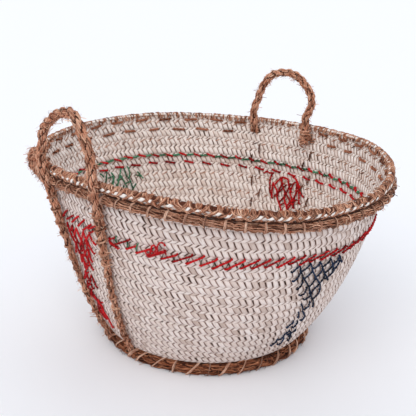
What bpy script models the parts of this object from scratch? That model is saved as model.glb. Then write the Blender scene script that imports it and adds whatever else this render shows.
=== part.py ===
"""Plaited palm-leaf basket with rope handles, in metres, +Z up.

The origin lies on the floor, below the middle of the mouth. +X runs along
the mouth's long side. The left handle stands at -Y and the right one at +Y.
"""
import math

import bmesh
import bpy
from mathutils import Matrix, Vector

# Bowl
MOUTH_LENGTH = 0.440
MOUTH_WIDTH = 0.388
MOUTH_POWER = 2.22
OVAL_POWER = 2.0
MOUTH_LOBE_SHARE = 0.0115
FOOT_LENGTH = 0.279
FOOT_WIDTH = 0.2556
FOOT_SHIFT = 0.018
CENTRE_SHIFT_X = 0.0010
CENTRE_SHIFT_Y = 0.0017
LIP_HEIGHT = 0.238
LIP_LEAN = 0.007
LIP_SADDLE = 0.003
LIP_WAVE = 0.004
BELLY_SHARE = 0.60
LOW_BELLY_SHARE = 0.32
WALL = 0.004
CLEAR = 0.0003
AROUND = 64
ROWS = 8

# Base rope, a ring under the bowl's foot
BASE_ROPE = 0.0175
BASE_ROPE_INSET = 0.0041
BASE_ROPE_FLAT_SHARE = 0.1
BASE_TIE_PITCH = 0.040
BASE_TIE_LOW_ANGLE = -5
BASE_TIE_HIGH_ANGLE = 38
BASE_TIE_STANDOFF = 0.0010

# Lip binding and rim rope
BINDING = 0.0016
BINDING_OUTER_DEPTH = 0.0095
BINDING_INNER_DEPTH = 0.0055
RIM_ROPE = 0.0095
RIM_TIE_PITCH = 0.0187
RIM_DASH_HIGH_DEPTH = 0.0085
RIM_DASH_LOW_DEPTH = 0.0215
RIM_DASH_LEAN = 0.0018
TWINE = 0.0020

# Handles: each leg's angle at the lip and at the foot, in degrees. The bends of
# an arch are shares of its half width, front leg first, and of its rise
HANDLE_ROPE = 0.0115
LEFT_FRONT_ANGLES = (-75.0, -78.0)
LEFT_BACK_ANGLES = (-98.0, -97.0)
RIGHT_FRONT_ANGLES = (96.5, 86.0)
RIGHT_BACK_ANGLES = (120.5, 113.0)
LEFT_LEAN_ANGLE = 2.0
RIGHT_LEAN_ANGLE = 12.0
HINGE_RISE = 0.012
LEFT_ARCH_RISE = 0.060
RIGHT_ARCH_RISE = 0.055
ARCH_STEPS = 2
LEFT_ARCH_BENDS = (
    (1.0, 0.0),
    (1.02, 0.22),
    (1.0, 0.45),
    (0.87, 0.65),
    (0.76, 0.86),
    (0.56, 1.0),
    (0.2, 0.98),
    (-0.15, 0.87),
    (-0.64, 0.62),
    (-0.8, 0.38),
    (-0.88, 0.18),
    (-1.0, 0.0),
)
RIGHT_ARCH_BENDS = (
    (1.0, 0.0),
    (1.12, 0.16),
    (1.13, 0.42),
    (0.91, 0.69),
    (0.52, 0.93),
    (0.04, 1.0),
    (-0.44, 0.91),
    (-0.74, 0.64),
    (-0.89, 0.28),
    (-1.0, 0.0),
)
HOLE_PLAY = 0.0006
ROPE_BEND = 0.0072
BEND_STEPS = 4
LEG_FOOT_SHARE = 0.015
LEG_TIE_PITCH = 0.0155
LEG_TIE_START = 0.034
LEG_TIE_FOOT_HEIGHT = 0.033

# Yarn rows round the bowl, and the four motifs below them
BAND_HIGH_DEPTH = 0.0585
BAND_LOW_DEPTH = 0.0695
YARN = 0.0024
YARN_PITCH = 0.0138
YARN_REACH = 0.0185
MOTIF_TOP_DEPTH = 0.077
MOTIF_FOOT_HEIGHT = 0.040
MOTIF_ROWS = 5
MOTIF_TIP_SHARE = 0.2
MOTIF_CELL = 0.018
MOTIF_ROW_GAP = 0.005
LEFT_MOTIF_ANGLE = -87.0
NAVY_MOTIF_ANGLE = -1.0
RIGHT_MOTIF_ANGLE = 106.0
GREEN_MOTIF_ANGLE = 183.0
RED_MOTIF_WIDTH = 0.052
NAVY_MOTIF_WIDTH = 0.074
GREEN_MOTIF_WIDTH = 0.068

# Knot where the red yarn is tied off
KNOT_ANGLE = -55.5
KNOT_DEPTH = 0.050
KNOT_BALL = 0.0075
KNOT_LOOP_LENGTH = 0.011
KNOT_LOOP_WIDTH = 0.0065
KNOT_YARN = 0.0022
KNOT_LOOP_OVERLAP = 0.0022
KNOT_LOOP_STEPS = 12
BALL_SIDES = 10
BALL_RINGS = 6

# A small step of angle or rise for slopes, and the fine steps for lengths
NUDGE = 1e-4
FINE_STEPS = 720
CUT_OVERRUN = 0.010

# Colours
PALM = (0.70, 0.62, 0.56)
COIR = (0.30, 0.13, 0.065)
DARK_COIR = (0.12, 0.045, 0.022)
TWINE_BROWN = (0.36, 0.18, 0.095)
RED = (0.42, 0.008, 0.012)
GREEN = (0.045, 0.22, 0.10)
NAVY = (0.008, 0.018, 0.05)
PALM_ROUGHNESS = 0.75
COIR_ROUGHNESS = 0.9
YARN_ROUGHNESS = 0.85

# Sizes that follow
BASE_ROPE_RADIUS = BASE_ROPE / 2
BASE_ROPE_CENTRE = BASE_ROPE_RADIUS - BASE_ROPE * BASE_ROPE_FLAT_SHARE
BASE_ROPE_TOP = BASE_ROPE_CENTRE + BASE_ROPE_RADIUS
FOOT_HEIGHT = BASE_ROPE_CENTRE + math.sqrt((BASE_ROPE_RADIUS + CLEAR) ** 2 - BASE_ROPE_INSET ** 2)
LEG_TIE_END = LIP_HEIGHT - LEG_TIE_FOOT_HEIGHT
MOTIF_BOTTOM_DEPTH = LIP_HEIGHT - MOTIF_FOOT_HEIGHT
MOUTH_SHIFT = -MOUTH_LENGTH / 2 * MOUTH_LOBE_SHARE
FACET_SAG = MOUTH_LENGTH / 2 * (1 - math.cos(math.pi / AROUND))
LAID_CLEAR = CLEAR + FACET_SAG
RIM_ROPE_RADIUS = RIM_ROPE / 2
RIM_ROPE_DEPTH = BINDING_OUTER_DEPTH + RIM_ROPE_RADIUS
HANDLE_RADIUS = HANDLE_ROPE / 2
HOLE_RADIUS = HANDLE_RADIUS + HOLE_PLAY
HOLE_DEPTH = BINDING_OUTER_DEPTH + HOLE_RADIUS + CLEAR
LEG_OUT = HANDLE_RADIUS + LAID_CLEAR
LEG_MARGIN = HANDLE_RADIUS + 4 * CLEAR
LEG_OVER_BINDING = HANDLE_RADIUS + BINDING + 3 * CLEAR
LEG_BEHIND_BINDING = -(WALL + LEG_OVER_BINDING)


LEGS = (LEFT_BACK_ANGLES, LEFT_FRONT_ANGLES, RIGHT_FRONT_ANGLES, RIGHT_BACK_ANGLES)
STRETCH_NAMES = ("left_handle", "front", "right_handle", "back")


def signed_power(value, power):
    return math.copysign(abs(value) ** power, value)


def oval(angle, length, width, power):
    """Point of a squared oval, seen from above."""
    x = length / 2 * signed_power(math.cos(angle), 2 / power)
    y = width / 2 * signed_power(math.sin(angle), 2 / power)
    return x, y


def lip_height(angle):
    """Height of the lip, which a hand-made bowl doesn't keep level."""
    level = LIP_HEIGHT - LIP_LEAN * math.sin(angle)
    return level - LIP_SADDLE * math.cos(2 * angle) - LIP_WAVE * math.cos(3 * angle)


def skin(angle, rise):
    """Outer skin of the bowl: rise runs from 0 at the foot to 1 at the lip."""
    belly = rise * (1 - rise)
    spread = rise + BELLY_SHARE * belly + LOW_BELLY_SHARE * belly * (1 - 2 * rise)
    lobe = 1 + MOUTH_LOBE_SHARE * math.cos(3 * angle) * rise
    power = OVAL_POWER + (MOUTH_POWER - OVAL_POWER) * rise
    foot_x, foot_y = oval(angle, FOOT_LENGTH, FOOT_WIDTH, OVAL_POWER)
    mouth_x, mouth_y = oval(angle, MOUTH_LENGTH, MOUTH_WIDTH, power)
    x = (foot_x + (mouth_x - foot_x) * spread) * lobe + MOUTH_SHIFT - FOOT_SHIFT * (1 - spread)
    y = (foot_y + (mouth_y - foot_y) * spread) * lobe
    x += CENTRE_SHIFT_X
    y += CENTRE_SHIFT_Y
    return Vector((x, y, FOOT_HEIGHT + (lip_height(angle) - FOOT_HEIGHT) * rise))


def slopes(angle, rise):
    """Unit vectors round the bowl, up it and out of it."""
    here = skin(angle, rise)
    along = (skin(angle + NUDGE, rise) - here).normalized()
    up = (skin(angle, rise + NUDGE) - here).normalized()
    out = along.cross(up).normalized()
    return along, up, out


def wall_point(angle, rise, out=0.0):
    return skin(angle, rise) + slopes(angle, rise)[2] * out


def rise_at(angle, depth):
    """Rise of the place that lies a depth below the lip."""
    return 1 - depth / (lip_height(angle) - FOOT_HEIGHT)


def below_lip(angle, depth, out=0.0):
    return wall_point(angle, rise_at(angle, depth), out)


def turn_angle(angle, depth, distance):
    """Angle of the place that lies a distance further round the bowl."""
    step = below_lip(angle + NUDGE, depth) - below_lip(angle, depth)
    return angle + distance / step.length * NUDGE


def leg_angle(angles, rise):
    """Angle at which a handle leg runs down the bowl."""
    lip_angle, foot_angle = angles
    return math.radians(foot_angle + (lip_angle - foot_angle) * rise)


def leg_at_depth(angles, depth):
    return leg_angle(angles, rise_at(math.radians(angles[0]), depth))


def spaced_angles(first, last, depth, pitch):
    """Angles at an even pitch along a stretch at one depth below the lip."""
    turns = [first + (last - first) * index / FINE_STEPS for index in range(FINE_STEPS + 1)]
    reached = [0.0]
    for index in range(FINE_STEPS):
        step = below_lip(turns[index + 1], depth) - below_lip(turns[index], depth)
        reached.append(reached[-1] + step.length)
    count = max(1, round(reached[-1] / pitch))
    angles = []
    index = 0
    for place in range(count + 1):
        wanted = reached[-1] * place / count
        while index < FINE_STEPS - 1 and reached[index + 1] < wanted:
            index += 1
        share = (wanted - reached[index]) / (reached[index + 1] - reached[index])
        angles.append(turns[index] + share * (turns[index + 1] - turns[index]))
    return angles


def stretches(depth, margin):
    """The four stretches round the outside between the handle legs, by name."""
    stops = [leg_at_depth(angles, depth) for angles in LEGS]
    stops.append(stops[0] + 2 * math.pi)
    found = []
    for name, start, end in zip(STRETCH_NAMES, stops, stops[1:]):
        first = turn_angle(start, depth, margin)
        last = turn_angle(end, depth, -margin)
        found.append((name, first, last))
    return found


def new_collection(name, hidden=False):
    collection = bpy.data.collections.new(name)
    collection.hide_render = hidden
    bpy.context.scene.collection.children.link(collection)
    return collection


def finish(name, colour, roughness):
    material = bpy.data.materials.new(name)
    material.use_nodes = True
    shader = material.node_tree.nodes["Principled BSDF"]
    shader.inputs["Base Color"].default_value = (*colour, 1.0)
    shader.inputs["Roughness"].default_value = roughness
    shader.inputs["Metallic"].default_value = 0.0
    return material


def add_object(name, mesh, material, collection, smooth=True):
    thing = bpy.data.objects.new(name, mesh)
    collection.objects.link(thing)
    mesh.materials.clear()
    mesh.materials.append(material)
    if smooth:
        mesh.shade_smooth()
        mesh.set_sharp_from_angle(angle=math.radians(50))
    return thing


def mesh_from(bm, name):
    mesh = bpy.data.meshes.new(name)
    bm.to_mesh(mesh)
    bm.free()
    return mesh


def tube_mesh(name, path, radius, closed=False, resolution=2, twist="MINIMUM"):
    """Round tube along a path, as a welded mesh with filled ends."""
    curve = bpy.data.curves.new(name, "CURVE")
    curve.dimensions = "3D"
    curve.twist_mode = twist
    curve.bevel_depth = radius
    curve.bevel_resolution = resolution
    curve.use_fill_caps = not closed
    spline = curve.splines.new("POLY")
    spline.points.add(len(path) - 1)
    for point, place in zip(spline.points, path):
        point.co = (*place, 1.0)
    spline.use_cyclic_u = closed
    guide = bpy.data.objects.new(name, curve)
    bpy.context.scene.collection.objects.link(guide)
    bpy.context.view_layer.update()
    evaluated = guide.evaluated_get(bpy.context.evaluated_depsgraph_get())
    mesh = bpy.data.meshes.new_from_object(evaluated)
    bpy.data.objects.remove(guide)
    bm = bmesh.new()
    bm.from_mesh(mesh)
    bmesh.ops.remove_doubles(bm, verts=bm.verts, dist=NUDGE / 2 * radius / HANDLE_RADIUS)
    bm.to_mesh(mesh)
    bm.free()
    return mesh


def loft_mesh(name, rings):
    """Open surface through rings of points, the first ring lowest."""
    bm = bmesh.new()
    rows = []
    for ring in rings:
        rows.append([bm.verts.new(point) for point in ring])
    for lower, upper in zip(rows, rows[1:]):
        count = len(lower)
        for index in range(count):
            after = (index + 1) % count
            bm.faces.new((lower[index], lower[after], upper[after], upper[index]))
    return mesh_from(bm, name)


def thicken(thing, thickness, offset):
    shell = thing.modifiers.new("Thickness", "SOLIDIFY")
    shell.thickness = thickness
    shell.offset = offset
    shell.use_even_offset = True
    return shell


def cut(thing, cutter):
    hole = thing.modifiers.new("Cut " + cutter.name, "BOOLEAN")
    hole.operation = "DIFFERENCE"
    hole.object = cutter
    return hole


def unite(thing, other):
    join = thing.modifiers.new("Join " + other.name, "BOOLEAN")
    join.operation = "UNION"
    join.object = other
    return join


def add_cutter(name, mesh, collection):
    cutter = bpy.data.objects.new(name, mesh)
    collection.objects.link(cutter)
    cutter.display_type = "WIRE"
    cutter.hide_render = True
    return cutter


def box_mesh(name, sizes, centre):
    bm = bmesh.new()
    matrix = Matrix.Translation(centre) @ Matrix.Diagonal((*sizes, 1.0))
    bmesh.ops.create_cube(bm, size=1.0, matrix=matrix)
    return mesh_from(bm, name)


def laid_yarn(name, places, thickness, inside, standoff, parts, material, closed=False):
    """One strand that lies on the wall through places, each an angle and a depth."""
    out = LAID_CLEAR + thickness / 2 + standoff
    if inside:
        out = -WALL - out
    path = [below_lip(angle, depth, out) for angle, depth in places]
    mesh = tube_mesh(name, path, thickness / 2, closed, resolution=0)
    add_object(name, mesh, material, parts, False)


def zigzag(angles, high, low, lean=0.0):
    """Places that go up and down between two depths, leaning forward at the top."""
    places = []
    for angle in angles:
        places.append((angle, low))
        places.append((turn_angle(angle, high, lean), high))
    return places


def ring_angles():
    return [2 * math.pi * index / AROUND for index in range(AROUND)]


def plaited_wall(parts, cutters, material):
    rings = [[skin(angle, row / ROWS) for angle in ring_angles()] for row in range(ROWS + 1)]
    wall = add_object("plaited_wall", loft_mesh("plaited_wall", rings), material, parts)
    thicken(wall, WALL, -1.0)
    for name, angles in (("front", RIGHT_FRONT_ANGLES), ("back", RIGHT_BACK_ANGLES)):
        rise = rise_at(math.radians(angles[0]), HOLE_DEPTH)
        angle = leg_angle(angles, rise)
        reach = WALL + CUT_OVERRUN
        path = [wall_point(angle, rise, CUT_OVERRUN), wall_point(angle, rise, -reach)]
        hole = tube_mesh("hole_" + name, path, HOLE_RADIUS, resolution=3)
        cut(wall, add_cutter("right_handle_hole_" + name, hole, cutters))


def plaited_base(parts, material):
    """Flat disc inside the foot, lying on the base rope."""
    curve = bpy.data.curves.new("plaited_base", "CURVE")
    curve.dimensions = "2D"
    curve.fill_mode = "BOTH"
    curve.extrude = WALL / 2
    spline = curve.splines.new("POLY")
    spline.points.add(AROUND - 1)
    for point, angle in zip(spline.points, ring_angles()):
        edge = wall_point(angle, 0, -WALL)
        inward = Vector((slopes(angle, 0)[2].x, slopes(angle, 0)[2].y, 0)).normalized()
        place = edge - inward * CLEAR
        point.co = (place.x, place.y, 0.0, 1.0)
    spline.use_cyclic_u = True
    guide = bpy.data.objects.new("plaited_base_outline", curve)
    bpy.context.scene.collection.objects.link(guide)
    bpy.context.view_layer.update()
    evaluated = guide.evaluated_get(bpy.context.evaluated_depsgraph_get())
    mesh = bpy.data.meshes.new_from_object(evaluated)
    bpy.data.objects.remove(guide)
    bm = bmesh.new()
    bm.from_mesh(mesh)
    bmesh.ops.remove_doubles(bm, verts=bm.verts, dist=NUDGE / 2)
    bmesh.ops.translate(bm, verts=bm.verts, vec=(0, 0, BASE_ROPE_TOP + CLEAR + WALL / 2))
    bm.to_mesh(mesh)
    bm.free()
    add_object("plaited_base", mesh, material, parts)


def base_rope_point(angle, out=0.0, lift=0.0):
    """Point round the base rope's middle line, moved out of it or up."""
    foot = skin(angle, 0)
    side = Vector((slopes(angle, 0)[2].x, slopes(angle, 0)[2].y, 0)).normalized()
    flat = Vector((foot.x, foot.y, BASE_ROPE_CENTRE + lift))
    return flat + side * (out - BASE_ROPE_INSET)


def base_rope(parts, cutters, material):
    path = [base_rope_point(angle) for angle in ring_angles()]
    mesh = tube_mesh("base_rope", path, BASE_ROPE_RADIUS, closed=True, twist="Z_UP")
    rope = add_object("base_rope", mesh, material, parts)
    sizes = (FOOT_LENGTH * 2, FOOT_LENGTH * 2, CUT_OVERRUN)
    floor = box_mesh("floor", sizes, Vector((0, 0, -CUT_OVERRUN / 2)))
    cut(rope, add_cutter("base_rope_floor", floor, cutters))


def base_rope_twine(parts, material):
    """Twine that zigzags over the outer side of the base rope."""
    reach = BASE_ROPE_RADIUS + BASE_TIE_STANDOFF + TWINE / 2
    foot_depth = LIP_HEIGHT - FOOT_HEIGHT
    low = math.radians(BASE_TIE_LOW_ANGLE)
    high = math.radians(BASE_TIE_HIGH_ANGLE)
    path = []
    for angle in spaced_angles(0.0, 2 * math.pi, foot_depth, BASE_TIE_PITCH / 2)[:-1]:
        turn = high if len(path) % 2 else low
        path.append(base_rope_point(angle, reach * math.cos(turn), reach * math.sin(turn)))
    mesh = tube_mesh("base_rope_twine", path, TWINE / 2, closed=True, resolution=0)
    add_object("base_rope_twine", mesh, material, parts, False)


def lip_binding(parts, material):
    """Twine overcast round the lip, as one skin over its edge."""
    gap = Vector((0, 0, CLEAR))
    inner = -(WALL + CLEAR)
    rings = [
        [below_lip(angle, BINDING_OUTER_DEPTH, CLEAR) for angle in ring_angles()],
        [wall_point(angle, 1, CLEAR) + gap for angle in ring_angles()],
        [wall_point(angle, 1, inner) + gap for angle in ring_angles()],
        [below_lip(angle, BINDING_INNER_DEPTH, inner) for angle in ring_angles()],
    ]
    binding = add_object("lip_binding", loft_mesh("lip_binding", rings), material, parts)
    thicken(binding, BINDING, 1.0)


def rim_ropes(parts, rope):
    """Four lengths of rope below the binding, between the handle legs."""
    for stretch, first, last in stretches(RIM_ROPE_DEPTH, LEG_MARGIN):
        name = "rim_rope_" + stretch
        count = max(3, round((last - first) / (2 * math.pi) * AROUND))
        path = []
        for index in range(count + 1):
            angle = first + (last - first) * index / count
            path.append(below_lip(angle, RIM_ROPE_DEPTH, RIM_ROPE_RADIUS + LAID_CLEAR))
        mesh = tube_mesh(name, path, RIM_ROPE_RADIUS, resolution=1, twist="Z_UP")
        add_object(name, mesh, rope(), parts)


def rim_twines(parts, twine):
    """Twine that ties the rim rope on, outside over the rope and inside in two rows."""
    high = RIM_ROPE_DEPTH - RIM_ROPE_RADIUS
    low = RIM_ROPE_DEPTH + RIM_ROPE_RADIUS
    standoff = RIM_ROPE + CLEAR
    for stretch, first, last in stretches(RIM_ROPE_DEPTH, LEG_MARGIN + TWINE):
        angles = spaced_angles(first, last, RIM_ROPE_DEPTH, RIM_TIE_PITCH)
        name = "rim_twine_" + stretch
        laid_yarn(name, zigzag(angles, high, low), TWINE, False, standoff, parts, twine())
    depth = (RIM_DASH_HIGH_DEPTH + RIM_DASH_LOW_DEPTH) / 2
    start = turn_angle(leg_at_depth(RIGHT_BACK_ANGLES, depth), depth, LEG_MARGIN + RIM_TIE_PITCH / 2)
    end = turn_angle(leg_at_depth(RIGHT_FRONT_ANGLES, depth), depth, -LEG_MARGIN - RIM_TIE_PITCH / 2)
    places = []
    depths = (RIM_DASH_HIGH_DEPTH, RIM_DASH_LOW_DEPTH)
    angles = spaced_angles(start, end + 2 * math.pi, depth, RIM_TIE_PITCH)
    for index, (first, last) in enumerate(zip(angles, angles[1:])):
        places.append((turn_angle(first, depth, RIM_DASH_LEAN), depths[index % 2]))
        places.append((turn_angle(last, depth, -RIM_DASH_LEAN), depths[index % 2]))
    laid_yarn("inner_rim_twine", places, TWINE, True, 0.0, parts, twine())


def arc_between(start, corner, end, radius, steps):
    """Points that round off the corner of a bent line."""
    back = (start - corner).normalized()
    ahead = (end - corner).normalized()
    half = back.angle(ahead) / 2
    inset = radius / math.tan(half)
    middle = corner + (back + ahead).normalized() * (radius / math.sin(half))
    first = corner + back * inset - middle
    last = corner + ahead * inset - middle
    sweep = first.angle(last)
    points = []
    for index in range(steps + 1):
        share = index / steps
        blend = first * math.sin((1 - share) * sweep) + last * math.sin(share * sweep)
        points.append(middle + blend / math.sin(sweep))
    return points


def left_leg_top(angles):
    """Place where the left handle's leg leaves the lip, outside it."""
    return wall_point(leg_angle(angles, 1), 1, LEG_OVER_BINDING)


def right_leg_top(angles):
    """Place where the right handle's leg passes the lip, inside it."""
    return wall_point(leg_angle(angles, 1), 1, LEG_BEHIND_BINDING)


def outward_of(front, back):
    """Level unit vector out of the basket, square to a handle's two legs."""
    line = front - back
    out = Vector((line.y, -line.x, 0)).normalized()
    if out.dot(front + back) < 0:
        out = -out
    return out


def handle_frame(front_angles, back_angles, top_of, lean):
    """Hinge points, axis and upward direction of one handle."""
    front = top_of(front_angles)
    back = top_of(back_angles)
    out = outward_of(front, back)
    tilt = math.radians(lean)
    up = Vector((0, 0, math.cos(tilt))) + out * math.sin(tilt)
    axis = (front - back).normalized()
    up = (up - axis * up.dot(axis)).normalized()
    return front + up * HINGE_RISE, back + up * HINGE_RISE, axis, up


def leg_rises(last):
    """Rises up the wall, in step with its rows, from the foot to the last one."""
    rises = [LEG_FOOT_SHARE]
    for row in range(1, ROWS):
        if row / ROWS < last:
            rises.append(row / ROWS)
    rises.append(last)
    return rises


def left_leg(name, angles, hinge, up, parts, material):
    """Leg that climbs the outside and passes over the rim to the arch."""
    path = []
    bend_rise = rise_at(math.radians(angles[0]), BINDING_OUTER_DEPTH + HANDLE_ROPE)
    for rise in leg_rises(bend_rise):
        path.append(wall_point(leg_angle(angles, rise), rise, LEG_OUT))
    rise = rise_at(math.radians(angles[0]), BINDING_OUTER_DEPTH)
    path.append(wall_point(leg_angle(angles, rise), rise, LEG_OVER_BINDING))
    path.append(left_leg_top(angles))
    path.append(hinge - up * (HANDLE_RADIUS + CLEAR))
    add_object(name, tube_mesh(name, path, HANDLE_RADIUS), material, parts)


def right_leg(name, angles, hinge, up, parts, material):
    """Leg that climbs the outside, goes in through the wall and up to the arch."""
    rise = rise_at(math.radians(angles[0]), HOLE_DEPTH)
    angle = leg_angle(angles, rise)
    outer_corner = wall_point(angle, rise, LEG_OUT)
    inner_corner = wall_point(angle, rise, LEG_BEHIND_BINDING)
    top = hinge - up * (HANDLE_RADIUS + CLEAR)
    last_rise = rise_at(math.radians(angles[0]), HOLE_DEPTH + 2 * ROPE_BEND)
    path = []
    for share in leg_rises(last_rise):
        path.append(wall_point(leg_angle(angles, share), share, LEG_OUT))
    path += arc_between(path[-1], outer_corner, inner_corner, ROPE_BEND, BEND_STEPS)
    path += arc_between(outer_corner, inner_corner, top, ROPE_BEND, BEND_STEPS)
    path.append(top)
    add_object(name, tube_mesh(name, path, HANDLE_RADIUS), material, parts)


def smooth_path(points, steps):
    """Points along a smooth curve that passes through the given ones."""
    ends = [2 * points[0] - points[1], *points, 2 * points[-1] - points[-2]]
    path = []
    for before, start, end, after in zip(ends, ends[1:], ends[2:], ends[3:]):
        for index in range(steps):
            share = index / steps
            bend = 2 * before - 5 * start + 4 * end - after
            turn = 3 * start - 3 * end + after - before
            place = start + ((end - before) * share + bend * share**2 + turn * share**3) / 2
            path.append(place)
    path.append(points[-1])
    return path


def handle_arch(name, frame, rise, bends, parts, cutters, material):
    """Loop of rope that tips about the line through its two ends."""
    front, back, axis, up = frame
    middle = (front + back) / 2
    half = (front - back).length / 2
    points = [axis * half * along + up * rise * height for along, height in bends]
    path = smooth_path(points, ARCH_STEPS)
    arch = add_object(name, tube_mesh(name, path, HANDLE_RADIUS), material, parts)
    arch.location = middle
    for end in (half, -half):
        bm = bmesh.new()
        place = Matrix.Translation(axis * end)
        bmesh.ops.create_uvsphere(
            bm, u_segments=BALL_SIDES, v_segments=BALL_RINGS, radius=HANDLE_RADIUS, matrix=place
        )
        ball = add_cutter(name + "_end", mesh_from(bm, name + "_end"), cutters)
        ball.location = middle
        unite(arch, ball)


def leg_twine(name, angles, parts, material):
    """Twine that zigzags over a leg, down the outside."""
    count = round((LEG_TIE_END - LEG_TIE_START) / LEG_TIE_PITCH)
    places = []
    for index in range(2 * count + 1):
        depth = LEG_TIE_START + LEG_TIE_PITCH * index / 2
        side = HANDLE_RADIUS if index % 2 else -HANDLE_RADIUS
        places.append((turn_angle(leg_at_depth(angles, depth), depth, side), depth))
    standoff = HANDLE_ROPE + CLEAR
    laid_yarn(name, places, TWINE, False, standoff, parts, material)


def band_yarns(parts, outer, upper, lower):
    """Slanting yarn outside between the legs, and two rows of yarn round the inside."""
    margin = LEG_MARGIN + YARN
    for stretch, first, last in stretches(BAND_LOW_DEPTH, margin):
        end = turn_angle(last, BAND_LOW_DEPTH, -YARN_REACH)
        angles = spaced_angles(first, end, BAND_LOW_DEPTH, YARN_PITCH)
        places = zigzag(angles, BAND_HIGH_DEPTH, BAND_LOW_DEPTH, YARN_REACH)
        laid_yarn("outer_band_yarn_" + stretch, places, YARN, False, 0.0, parts, outer())
    rows = (
        ("inner_band_yarn_upper", BAND_HIGH_DEPTH, upper),
        ("inner_band_yarn_lower", BAND_LOW_DEPTH, lower),
    )
    for name, depth, material in rows:
        places = [(angle, depth) for angle in ring_angles()]
        laid_yarn(name, places, YARN, True, 0.0, parts, material(), closed=True)


def motif(name, centre, width, inside, parts, material):
    """One yarn that zigzags in rows, each narrower, from the band towards the foot."""
    height = (MOTIF_BOTTOM_DEPTH - MOTIF_TOP_DEPTH) / MOTIF_ROWS
    middle = math.radians(centre)
    places = []
    for row in range(MOTIF_ROWS):
        top = MOTIF_TOP_DEPTH + height * row
        bottom = top + height - MOTIF_ROW_GAP
        share = 1 - (1 - MOTIF_TIP_SHARE) * row / (MOTIF_ROWS - 1)
        cells = max(1, round(width * share / MOTIF_CELL))
        turns = 2 * cells + 1
        side = -1 if row % 2 else 1
        for index in range(turns):
            across = side * width * share * (index / (turns - 1) - 1 / 2)
            depth = bottom if index % 2 else top
            places.append((turn_angle(middle, depth, across), depth))
    laid_yarn(name, places, YARN, inside, 0.0, parts, material)


def red_yarn_knot(parts, cutters, material):
    """Ball of tied yarn above the band, with a loop on each side."""
    bm = bmesh.new()
    angle = math.radians(KNOT_ANGLE)
    place = below_lip(angle, KNOT_DEPTH, KNOT_BALL / 2 + LAID_CLEAR)
    bmesh.ops.create_uvsphere(
        bm,
        u_segments=BALL_SIDES,
        v_segments=BALL_RINGS,
        radius=KNOT_BALL / 2,
        matrix=Matrix.Translation(place),
    )
    ball = add_object("red_yarn_knot", mesh_from(bm, "red_yarn_knot"), material, parts)
    along, up, out = slopes(angle, rise_at(angle, KNOT_DEPTH))
    for side in (1, -1):
        reach = side * (KNOT_BALL / 2 + KNOT_LOOP_LENGTH / 2 - KNOT_LOOP_OVERLAP)
        base = place + along * reach
        path = []
        for index in range(KNOT_LOOP_STEPS):
            turn = 2 * math.pi * index / KNOT_LOOP_STEPS
            x = KNOT_LOOP_LENGTH / 2 * math.cos(turn)
            y = KNOT_LOOP_WIDTH / 2 * math.sin(turn)
            path.append(base + along * x + up * y)
        loop = tube_mesh("knot_loop", path, KNOT_YARN / 2, closed=True, resolution=1)
        unite(ball, add_cutter("knot_loop", loop, cutters))


def left_handle(parts, cutters, rope, twine):
    frame = handle_frame(LEFT_FRONT_ANGLES, LEFT_BACK_ANGLES, left_leg_top, LEFT_LEAN_ANGLE)
    front, back, axis, up = frame
    left_leg("left_handle_front_leg", LEFT_FRONT_ANGLES, front, up, parts, rope())
    left_leg("left_handle_back_leg", LEFT_BACK_ANGLES, back, up, parts, rope())
    leg_twine("left_handle_front_twine", LEFT_FRONT_ANGLES, parts, twine())
    leg_twine("left_handle_back_twine", LEFT_BACK_ANGLES, parts, twine())
    handle_arch("left_handle_arch", frame, LEFT_ARCH_RISE, LEFT_ARCH_BENDS, parts, cutters, rope())


def right_handle(parts, cutters, rope, twine):
    frame = handle_frame(RIGHT_FRONT_ANGLES, RIGHT_BACK_ANGLES, right_leg_top, RIGHT_LEAN_ANGLE)
    front, back, axis, up = frame
    right_leg("right_handle_front_leg", RIGHT_FRONT_ANGLES, front, up, parts, rope())
    right_leg("right_handle_back_leg", RIGHT_BACK_ANGLES, back, up, parts, rope())
    leg_twine("right_handle_front_twine", RIGHT_FRONT_ANGLES, parts, twine())
    leg_twine("right_handle_back_twine", RIGHT_BACK_ANGLES, parts, twine())
    handle_arch("right_handle_arch", frame, RIGHT_ARCH_RISE, RIGHT_ARCH_BENDS, parts, cutters, rope())


def build():
    for thing in list(bpy.data.objects):
        bpy.data.objects.remove(thing)
    parts = new_collection("Woven basket")
    cutters = new_collection("Cutters", hidden=True)

    def palm():
        return finish("Palm leaf", PALM, PALM_ROUGHNESS)

    def rope():
        return finish("Coir rope", COIR, COIR_ROUGHNESS)

    def twine():
        return finish("Coir twine", TWINE_BROWN, COIR_ROUGHNESS)

    def red():
        return finish("Red yarn", RED, YARN_ROUGHNESS)

    def navy():
        return finish("Navy yarn", NAVY, YARN_ROUGHNESS)

    def green():
        return finish("Green yarn", GREEN, YARN_ROUGHNESS)

    plaited_wall(parts, cutters, palm())
    plaited_base(parts, palm())
    base_rope(parts, cutters, finish("Dark coir rope", DARK_COIR, COIR_ROUGHNESS))
    base_rope_twine(parts, twine())
    lip_binding(parts, twine())
    rim_ropes(parts, rope)
    rim_twines(parts, twine)
    left_handle(parts, cutters, rope, twine)
    right_handle(parts, cutters, rope, twine)
    band_yarns(parts, red, green, red)
    red_yarn_knot(parts, cutters, red())
    motif("left_red_motif", LEFT_MOTIF_ANGLE, RED_MOTIF_WIDTH, False, parts, red())
    motif("right_red_motif", RIGHT_MOTIF_ANGLE, RED_MOTIF_WIDTH, True, parts, red())
    motif("navy_motif", NAVY_MOTIF_ANGLE, NAVY_MOTIF_WIDTH, False, parts, navy())
    motif("green_motif", GREEN_MOTIF_ANGLE, GREEN_MOTIF_WIDTH, True, parts, green())


build()
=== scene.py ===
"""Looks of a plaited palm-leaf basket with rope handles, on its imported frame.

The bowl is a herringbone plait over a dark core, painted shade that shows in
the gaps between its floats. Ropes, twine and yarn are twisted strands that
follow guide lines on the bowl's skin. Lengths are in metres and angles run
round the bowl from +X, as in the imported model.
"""

import functools
import math
import random

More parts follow.
